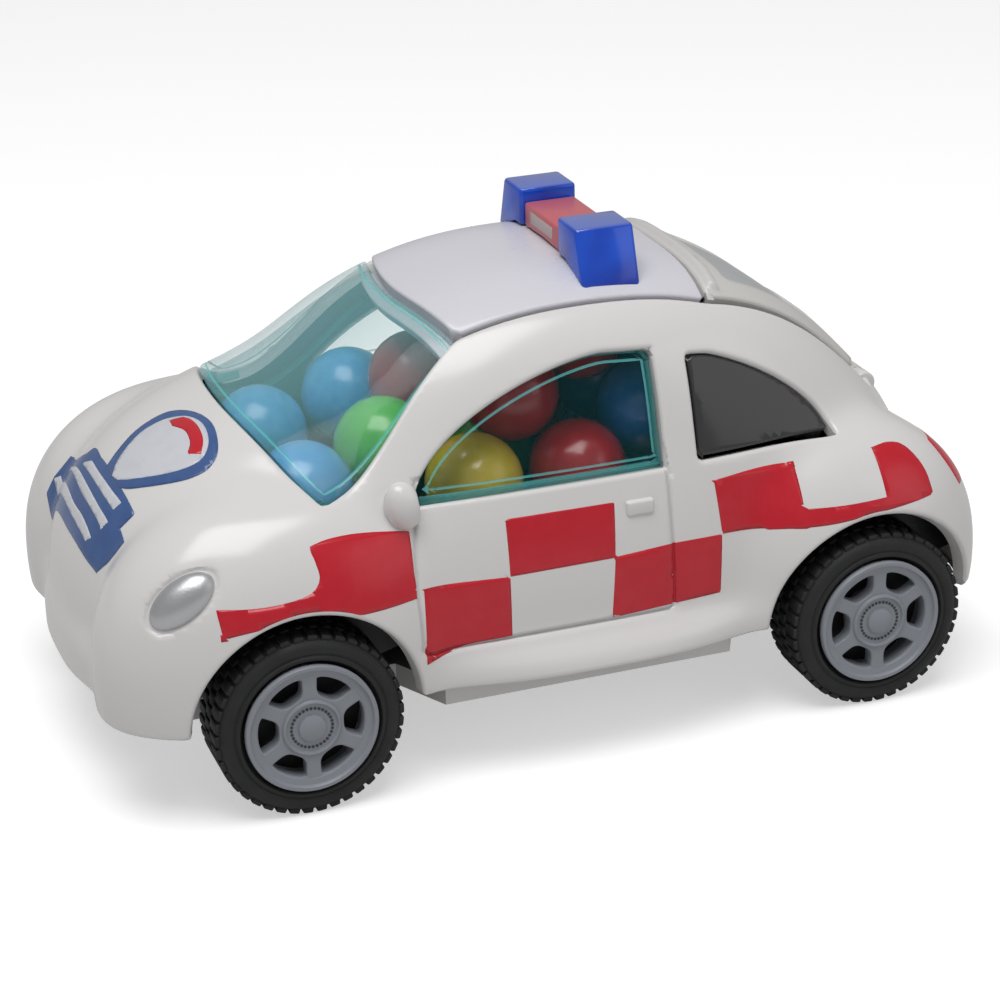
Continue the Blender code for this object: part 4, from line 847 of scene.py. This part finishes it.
# %% Hood label
LABEL = {  # seen from above, in mm from the middle of the wheelbase: height of the ink, colour, outlines
    "block": (0.05, blue_ink, [[
        (-57.5, 15.9, 1), (-57.0, 15.8), (-56.4, 15.8, 1), (-55.3, 15.3), (-54.1, 15.0, 1), (-53.9, 14.0, 1),
        (-54.2, 10.4), (-53.5, 7.4, 1), (-52.6, 6.0), (-52.7, 2.2, 1), (-52.6, -1.0), (-52.6, -4.3), (-52.5, -7.2),
        (-52.3, -10.1), (-52.1, -12.6, 1), (-53.0, -12.4), (-53.9, -12.1, 1), (-53.9, -13.1), (-54.0, -14.4, 1),
        (-54.9, -14.1), (-55.8, -13.4, 1), (-56.4, -12.5), (-57.1, -11.5, 1), (-57.8, -7.7), (-58.1, -2.1),
        (-58.0, 5.3)]]),
    "shield": (0.08, blue_ink, [[
        (-52.8, -1.0, 1), (-50.6, 0.3), (-48.5, 1.2), (-46.1, 1.3), (-44.1, 0.5), (-42.5, -1.7), (-41.4, -4.7),
        (-40.9, -8.0), (-41.2, -11.2), (-41.9, -13.3), (-43.0, -14.3), (-44.4, -14.5), (-46.6, -13.7),
        (-49.4, -11.6), (-51.7, -9.1), (-52.7, -7.2, 1)]]),
    "shield_field": (0.1, white_ink, [[
        (-52.8, -4.1, 1), (-51.8, -2.4), (-50.2, -1.1), (-48.2, -0.2), (-46.5, -0.3), (-44.7, -1.1), (-42.9, -3.2),
        (-41.9, -6.5), (-42.0, -9.9), (-42.9, -12.1), (-44.3, -12.8), (-46.6, -12.1), (-49.1, -10.3), (-51.4, -7.7),
        (-52.5, -5.8, 1)]]),
    "shield_arc": (0.12, red_ink, [[
        (-44.8, -1.8, 1), (-43.2, -3.2), (-42.5, -6.1), (-42.6, -9.7), (-43.5, -12.0, 1), (-44.9, -10.7, 1),
        (-44.1, -9.1), (-44.0, -6.3), (-44.9, -3.6, 1)]]),
    "bars": (0.07, white_ink, [
        [(-54.4, 6.1, 1), (-53.6, 3.8, 1), (-53.6, -1.5), (-53.4, -6.1), (-53.0, -9.6, 1), (-54.0, -9.2, 1),
         (-54.3, -5.3), (-54.4, -0.2)],
        [(-55.0, 12.6, 1), (-54.9, 7.3, 1), (-55.1, 0.0), (-55.1, -5.6), (-54.8, -9.7, 1), (-55.6, -9.2, 1),
         (-55.8, -4.5), (-55.8, 1.7)],
        [(-56.4, 15.6, 1), (-55.7, 14.5, 1), (-56.7, 2.7), (-56.7, -3.5), (-56.7, -8.2, 1), (-57.3, -7.1, 1),
         (-57.4, -1.7), (-57.2, 5.3)]]),
}


def on_print(outlines):
    """How far inside the nearest of some outlines seen from above."""
    shapes = [drawn([(p[0] * MM + SHIFT, p[1] * MM, *p[2:]) for p in outline]) for outline in outlines]
    return lambda points: np.max([from_above(shape, floor=24 * MM)(points) for shape in shapes], axis=0)


for title, (height, ink, outlines) in LABEL.items():
    mark = panel("label_" + title, -height * MM, 0.02 * MM, on_print(outlines), [ink], 0.01 * MM, 240)
    placed(mark, "car", "white_abs", "body_shell")

# %% [markdown]
# ## Lamps
#
# The headlamps are plated plugs: a thin bright metal film under lacquer, on a plug whose mould
# was left slightly grained, so the shine is broken into a soft, sandy sheen.

# %% Headlamps
lamp_finish = moulded("vacuum_plated_styrene", "#BFC0C2", 0.36, wave_mm=2.0, wave_height_mm=0.03, grain_mm=0.3,
                      Metallic=0.8)
for side, place in LAMPS.items():
    work = primitive(bmesh.ops.create_uvsphere, place @ Matrix.Diagonal((*LAMP_HALF, 1)), u_segments=48,
                     v_segments=24, radius=1)
    plug = baked(solid_object(f"headlamp_{side}", work, lamp_finish), 80)
    placed(plug, "car", "silver_plated_styrene", f"headlight_{side}")

# %% [markdown]
# ## Roof bar
#
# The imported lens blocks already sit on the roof's curve, so a copy of each is used: merged,
# its flat faces joined again, and its edges rounded like any moulding.

# %% Lenses and the block between them
def softened(name, node, width, finish):
    """A rounded copy of one of the model's blocks, standing for it."""
    work = bmesh.new()
    work.from_mesh(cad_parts[node].data)
    bmesh.ops.remove_doubles(work, verts=work.verts, dist=0.005 * MM)
    bmesh.ops.dissolve_limit(work, angle_limit=math.radians(1), verts=work.verts, edges=work.edges)
    return bevelled(solid_object(name, work, finish), width)


for side, _ in SIDES:
    lens = softened(f"roof_lens_{side}", f"lightbar_lens_{side}", 0.5 * MM, blue_lens)
    placed(lens, "car", "blue_clear_styrene", f"lightbar_lens_{side}")
centre = softened("roof_bar_centre", "lightbar_centre", 0.35 * MM, red_styrene)
placed(centre, "car", "red_styrene", "lightbar_centre")

# A bare pale print lies on the block's nose side, framed by the red.
low, high = (Vector(corner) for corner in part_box("lightbar_centre"))
size = high - low
print("roof bar centre", [round(v / MM, 2) for v in (*low, *high)])
place = Matrix.Translation((low.x, 0, low.z + 0.6 * size.z))
place = place @ Matrix.Diagonal((0.1 * MM, 0.62 * size.y, 0.42 * size.z, 1))
bar_print = solid_object("roof_bar_print", primitive(bmesh.ops.create_cube, place, size=1), pale_panel)
placed(bevelled(bar_print, 0.04 * MM), "car", "red_styrene", "lightbar_centre")

# %% [markdown]
# ## Wheels
#
# A wheel is a turned ring, a pierced spoke plate and a turned hub, pushed into a soft tyre.
# It is drawn once with its outer face up, then stood upright at each end of an axle. The
# six windows are holes in a flat outline, which is how the mould's inserts make them.

# %% Turned and pierced pieces
def turned(profile, steps=96):
    """A solid of revolution from radius and height in mm."""
    work = bmesh.new()
    points = [work.verts.new((r * MM, 0, h * MM)) for r, h in profile]
    edges = [work.edges.new(pair) for pair in zip(points[:-1], points[1:])]
    if profile[0][0] > 0:
        edges.append(work.edges.new((points[-1], points[0])))
    bmesh.ops.spin(work, geom=points + edges, cent=(0, 0, 0), axis=(0, 0, 1), angle=2 * math.pi, steps=steps,
                   use_merge=True)
    bmesh.ops.remove_doubles(work, verts=work.verts, dist=1e-7)
    bmesh.ops.recalc_face_normals(work, faces=work.faces)
    return mesh_of("turned", work)


def window_between(spoke):
    """A rounded window of the wheel between one spoke and the next, in mm."""
    corners = []
    for turn, side in ((spoke, 1), (spoke + 1, -1)):
        angle = math.pi / 2 + turn * math.pi / 3
        way, across = Vector((math.cos(angle), math.sin(angle))), Vector((-math.sin(angle), math.cos(angle)))
        pair = [way * 3.95 + across * side * 0.62, way * 6.5 + across * side * 0.72]
        corners.append(pair if side > 0 else pair[::-1])
    middle = math.pi / 2 + (spoke + 0.5) * math.pi / 3
    arc = [Vector((math.cos(a), math.sin(a))) * 6.72 for a in np.linspace(middle - 0.28, middle + 0.28, 5)]
    return rounded([tuple(p) for p in corners[0] + arc + corners[1]], 1.1, 6)


def pierced_plate(outer, windows, thickness, soft):
    """A flat plate with windows, from a filled curve with a soft edge; sizes in mm."""
    curve = bpy.data.curves.new("plate", "CURVE")
    curve.dimensions, curve.fill_mode = "2D", "BOTH"
    curve.extrude = (thickness / 2 - soft) * MM
    curve.bevel_depth, curve.bevel_resolution = soft * MM, 2
    for loop in (outer, *windows):
        spline = curve.splines.new("POLY")
        spline.points.add(len(loop) - 1)
        spline.points.foreach_set("co", [n for u, v in loop for n in (u * MM, v * MM, 0, 1)])
        spline.use_cyclic_u = True
    flat = put("plate", curve)
    bpy.context.view_layer.update()
    mesh = evaluated(flat)
    bpy.data.objects.remove(flat)
    return mesh


rim_ring = turned([(8.1, -0.75), (8.1, -0.12), (8.0, 0), (7.6, 0), (7.5, -0.1), (7.42, -0.38), (7.3, -0.45),
                   (6.72, -0.5), (6.6, -0.62), (6.6, -2.6), (7.1, -3.0), (7.0, -7.7), (7.5, -7.7), (7.5, -0.9)])
hub = turned([(0, -0.12), (1.5, -0.12), (1.62, -0.22), (1.66, -0.5), (1.78, -0.6), (3.0, -0.6), (3.12, -0.5),
              (3.18, -0.28), (3.3, -0.2), (3.5, -0.28), (3.62, -0.45), (3.65, -1.2), (3.2, -2.6), (2.8, -7.7),
              (0, -7.7)])
circle = [(7.0 * math.cos(a), 7.0 * math.sin(a)) for a in np.arange(96) / 96 * 2 * math.pi]
plate = pierced_plate(circle, [window_between(k) for k in range(6)], 1.9, 0.22)
plate.transform(Matrix.Translation((0, 0, -1.5 * MM)))
print("rim triangles", sum(len(f.vertices) - 2 for m in (rim_ring, hub, plate) for f in m.polygons))

# %% [markdown]
# The tyre is a plain turned carcass; its chunky tread is one rubber block, repeated. Geometry Nodes stands the copies
# round the axis: a point for each, at an angle that follows from its number. The same tree makes the little dark
# discs round the hub, whose dark grey is painted shade standing for small recesses.

# %% Ring of copies
def ring_tree():
    """Copies of an object round the axis, each at an angle that follows from its number."""
    tree = bpy.data.node_groups.new("ring_of_copies", "GeometryNodeTree")
    sockets = {"Copy": "Object", "Count": "Int", "Radius": "Float", "Height": "Float", "Turn": "Float",
               "Smallest": "Float", "Seed": "Int", "Finish": "Material"}
    for name, kind in sockets.items():
        tree.interface.new_socket(name, in_out="INPUT", socket_type="NodeSocket" + kind)
    tree.interface.new_socket("Geometry", in_out="OUTPUT", socket_type="NodeSocketGeometry")
    given = add(tree, "NodeGroupInput").outputs
    number = add(tree, "GeometryNodeInputIndex").outputs["Index"]

    def maths(operation, *values):
        return add(tree, "ShaderNodeMath", dict(enumerate(values)), operation=operation).outputs[0]

    angle = maths("MULTIPLY_ADD", maths("DIVIDE", number, given["Count"]), 2 * math.pi, given["Turn"])
    x, y = (maths("MULTIPLY", maths(wave, angle), given["Radius"]) for wave in ("COSINE", "SINE"))
    place = add(tree, "ShaderNodeCombineXYZ", {"X": x, "Y": y, "Z": given["Height"]}).outputs["Vector"]
    points = add(tree, "GeometryNodePoints", {"Count": given["Count"], "Position": place})
    turn = add(tree, "ShaderNodeCombineXYZ", {"Z": angle}).outputs["Vector"]
    size = add(tree, "FunctionNodeRandomValue", {2: given["Smallest"], 3: 1.0, "Seed": given["Seed"]},
               data_type="FLOAT").outputs[1]
    copy = add(tree, "GeometryNodeObjectInfo", {"Object": given["Copy"]}).outputs["Geometry"]
    stood = add(tree, "GeometryNodeInstanceOnPoints", {"Points": points.outputs[0], "Instance": copy,
                                                       "Rotation": turn, "Scale": size})
    real = add(tree, "GeometryNodeRealizeInstances", {"Geometry": stood.outputs[0]})
    finish = add(tree, "GeometryNodeSetMaterial", {"Geometry": real.outputs[0], "Material": given["Finish"]})
    add(tree, "NodeGroupOutput", {"Geometry": finish.outputs[0]})
    return tree


RING = ring_tree()


def ring_of(copy, **inputs):
    """A plain mesh of copies round the axis, made by the tree."""
    holder = put("ring", bpy.data.meshes.new("ring"))
    step = holder.modifiers.new("copies", "NODES")
    step.node_group = RING
    socket = {item.name: item.identifier for item in RING.interface.items_tree if item.in_out == "INPUT"}
    step[socket["Copy"]] = copy
    for name, value in inputs.items():
        step[socket[name]] = value
    bpy.context.view_layer.update()
    mesh = evaluated(holder)
    bpy.data.objects.remove(holder)
    return mesh


def tread_block(length, width, height=0.7, soft=0.2):
    """One block: length along the tread, width across, height above the carcass, in mm."""
    work = primitive(bmesh.ops.create_cube, size=1)
    for vertex in work.verts:
        vertex.co = Vector((height, length * (0.88 if vertex.co.x > 0 else 1), width)) * vertex.co * MM
    return bevelled(solid_object("tread_block", work, tyre_vinyl), soft * MM)


# %% Tyres, rims and hub dots
TREAD = 42  # blocks in a row round the tyre
carcass = turned([(7.9, -1.5), (8.45, -1.15), (8.55, -0.6), (8.7, -0.45), (9.05, -0.45), (9.2, -0.62), (9.3, -0.64),
                  (9.45, -0.52), (9.9, -0.44), (10.45, -0.6), (10.9, -1.0), (11.2, -1.6), (11.3, -2.4),
                  (11.3, -7.0), (11.2, -7.8), (10.75, -8.5), (9.9, -8.95), (7.9, -9.0)])
# The black vinyl disc behind the spokes is painted shade: it makes the wheel's windows dark where the real wheel
# shows only deep, shaded recesses.
shade_disc = turned([(3.3, -3.9), (6.85, -3.9), (6.85, -4.5), (3.3, -4.5)])
shoulder_block, middle_block = tread_block(1.4, 2.6), tread_block(1.3, 1.9)
tread = [carcass, shade_disc]
for block, height, turn in ((shoulder_block, -2.35, 0), (middle_block, -4.75, math.pi / TREAD),
                            (shoulder_block, -7.1, 0)):
    tread.append(ring_of(block, Count=TREAD, Radius=11.22 * MM, Height=height * MM, Turn=turn, Smallest=0.98,
                         Seed=7, Finish=tyre_vinyl))
work = primitive(bmesh.ops.create_cone, cap_ends=True, segments=12, radius1=0.19 * MM, radius2=0.19 * MM,
                 depth=0.14 * MM)
# The dots' dark grey is painted shade: small raised discs stand for the hub's little recesses.
dot_finish = moulded("shadowed_recess", "#3A3D42", 0.6)
dot = solid_object("hub_dot", work, dot_finish)
dots = ring_of(dot, Count=32, Radius=2.5 * MM, Height=-0.56 * MM, Turn=0.0, Smallest=1.0, Seed=1, Finish=dot_finish)
for spare in (shoulder_block, middle_block, dot):
    bpy.data.objects.remove(spare)


def on_axle(name, meshes, axle, finish):
    """One piece with a wheel's meshes at both ends of an axle, outer faces outward."""
    work = bmesh.new()
    for sign in (-1, 1):
        upright = Matrix.Rotation(-sign * math.pi / 2, 4, "X")
        place = Matrix.Translation((axle, sign * HALF_TRACK, AXLE_HEIGHT)) @ upright
        for mesh in meshes:
            stood = mesh.copy()
            stood.transform(place)
            work.from_mesh(stood)
    for face in work.faces:
        face.material_index = 0
    return baked(solid_object(name, work, finish), 40)


for end, axle in (("front", FRONT_AXLE), ("rear", REAR_AXLE)):
    for title, meshes, finish, slot, node in (("tyres", tread, tyre_vinyl, "black_soft_vinyl", "tyre"),
                                              ("rims", [rim_ring, hub, plate], rim_abs, "grey_abs", "rim"),
                                              ("hub_dots", [dots], dot_finish, "grey_abs", "rim")):
        placed(on_axle(f"{title}_{end}", meshes, axle, finish), f"{end}_wheelset", slot,
               f"{node}_{end}_left", f"{node}_{end}_right")

# %% [markdown]
# A thin black wall closes each wheel's well behind the wheel, so that the well reads dark there. It is most of the
# upper half of a ring, so that nothing shows under the body's lower edge.

# %% Wheel wells
WELL_OUTER, WELL_INNER, WELL_THICKNESS = 15.2, 4.6, 0.8
WELL_Y = HALF_TRACK - 10.2 * MM
arc = np.radians(np.linspace(16, 164, 41))
well = [(radius * math.cos(a), radius * math.sin(a)) for radius, sweep in ((WELL_OUTER, arc), (WELL_INNER, arc[::-1]))
        for a in sweep]
work = bmesh.new()
for axle in (FRONT_AXLE, REAR_AXLE):
    for sign in (-1, 1):
        wall = pierced_plate(well, [], WELL_THICKNESS, 0.15)
        place = Matrix.Translation((axle, sign * WELL_Y, AXLE_HEIGHT)) @ Matrix.Rotation(math.pi / 2, 4, "X")
        wall.transform(place)
        work.from_mesh(wall)
placed(baked(solid_object("wheel_well_walls", work, tub_abs)), "car", "black_abs")

# %% [markdown]
# ## Sweets
#
# The model says where each sweet lies. Each gets a smooth ball, very slightly out of round,
# in the colour that shows through the glass at that place.

# %% Sweets
# The colours of the sweets that show through the glass; the others take turns.
SEEN = {"candy_24": "blue", "candy_23": "blue", "candy_25": "blue", "candy_26": "green", "candy_29": "red",
        "candy_30": "red", "candy_21": "red", "candy_27": "deep_blue", "candy_28": "deep_blue", "candy_20": "yellow",
        "candy_32": "red", "candy_17": "blue"}
sweets = sorted(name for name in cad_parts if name.startswith("candy_") and name != "candy_tub")
rest = list(GLAZES)
for number, name in enumerate(sweets):
    low, high = (Vector(corner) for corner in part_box(name))
    centre, radius = (low + high) / 2, (high.z - low.z) / 2
    colour = SEEN.get(name, rest[number % len(rest)])
    place = Matrix.Translation(centre) @ Matrix.Diagonal((0.985, 1, 1, 1))
    work = primitive(bmesh.ops.create_uvsphere, place, u_segments=40, v_segments=20, radius=radius)
    sweet = put("sweet_" + name[-2:], mesh_of("sweet_" + name[-2:], work, GLAZES[colour]))
    sweet.data.shade_smooth()
    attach(sweet, "car")
    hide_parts(name)
print("sweets", len(sweets))

# %% [markdown]
# ## Carried-over pieces
#
# Tub, chassis, screws, axles and hinge pin already have their real shape in the model, so they
# only change material.

# %% Materials for carried-over pieces
CARRIED = {"candy_tub": tub_abs, "chassis": white_abs, "chassis_screw_front": steel, "chassis_screw_rear": steel,
           "hatch_pin": steel, "front_axle": steel, "rear_axle": steel}
for name, finish in CARRIED.items():
    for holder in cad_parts[name].material_slots:
        holder.material = finish
print("carried over", len(CARRIED))

# %% [markdown]
# ## Light, floor and camera
#
# A photograph of a product on white has one broad soft light from above, a weaker one from
# the side, and a pale surround that the glossy plastic mirrors. The camera was worked out
# from the four wheels: a long lens, a little above and to the nose side of the car.

# %% Floor and surround
def floor():
    """A wide pale sheet that glows a little towards the camera."""
    mesh = bpy.data.meshes.new("floor")
    half = 3.0
    mesh.from_pydata([(-half, -half, 0), (half, -half, 0), (half, half, 0), (-half, half, 0)], [], [(0, 1, 2, 3)])
    piece = put("floor", mesh)
    made, tree, shader = finish_of("white_paper_sweep", "#D0D0D0", 0.9)
    rays = add(tree, "ShaderNodeLightPath")
    seen = add(tree, "ShaderNodeMath", {0: rays.outputs["Is Camera Ray"], 1: 0.5}, operation="MULTIPLY")
    shader.inputs["Emission Color"].default_value = (1, 1, 1, 1)
    tree.links.new(seen.outputs[0], shader.inputs["Emission Strength"])
    mesh.materials.append(made)


floor()
world = bpy.data.worlds.new("white_surround")
bpy.context.scene.world = world
world.use_nodes = True
tree = world.node_tree
background = tree.nodes["Background"]
background.inputs["Color"].default_value = (1, 1, 1, 1)
rays = add(tree, "ShaderNodeLightPath")
tree.links.new(mapped(tree, rays.outputs["Is Camera Ray"], 0, 1, 0.34, 1.0), background.inputs["Strength"])


# %% Lamps
def lamp(name, place, size, watts):
    """A soft rectangular light that faces the car's middle."""
    light = bpy.data.lights.new(name, "AREA")
    light.shape, light.energy = "RECTANGLE", watts
    light.size, light.size_y = size
    holder = put(name, light)
    holder.location = place
    holder.rotation_euler = (CAR_MIDDLE - Vector(place)).to_track_quat("-Z", "Y").to_euler()


CAR_MIDDLE = Vector((0, 0, 0.03))
lamp("soft_key", (-0.12, -0.16, 0.66), (0.5, 0.4), 3.5)
lamp("side_fill", (0.5, -0.45, 0.3), (0.4, 0.4), 0.35)

# %% Camera
SENSOR, FOCAL_LENGTHS = 36, 2.731  # sensor's width in mm, focal length in sensor widths
camera = bpy.data.cameras.new("photo_camera")
camera.sensor_width, camera.lens, camera.clip_start = SENSOR, FOCAL_LENGTHS * SENSOR, 0.01
eye = put("photo_camera", camera)
azimuth, elevation, roll = (math.radians(a) for a in (-19.62, 22.99, -1.49))
level = math.cos(elevation)
back = Vector((math.sin(azimuth) * level, -math.cos(azimuth) * level, math.sin(elevation)))
right = Vector((math.cos(azimuth), math.sin(azimuth), 0))
up = back.cross(right)
right, up = (math.cos(roll) * right + math.sin(roll) * up, math.cos(roll) * up - math.sin(roll) * right)
axes = Matrix((right, up, back)).transposed()
eye.matrix_world = Matrix.Translation(Vector((SHIFT - 110.9 * MM, -305.7 * MM, 160.2 * MM))) @ axes.to_4x4()
bpy.context.scene.camera = eye
bpy.context.scene.view_settings.view_transform = "Standard"
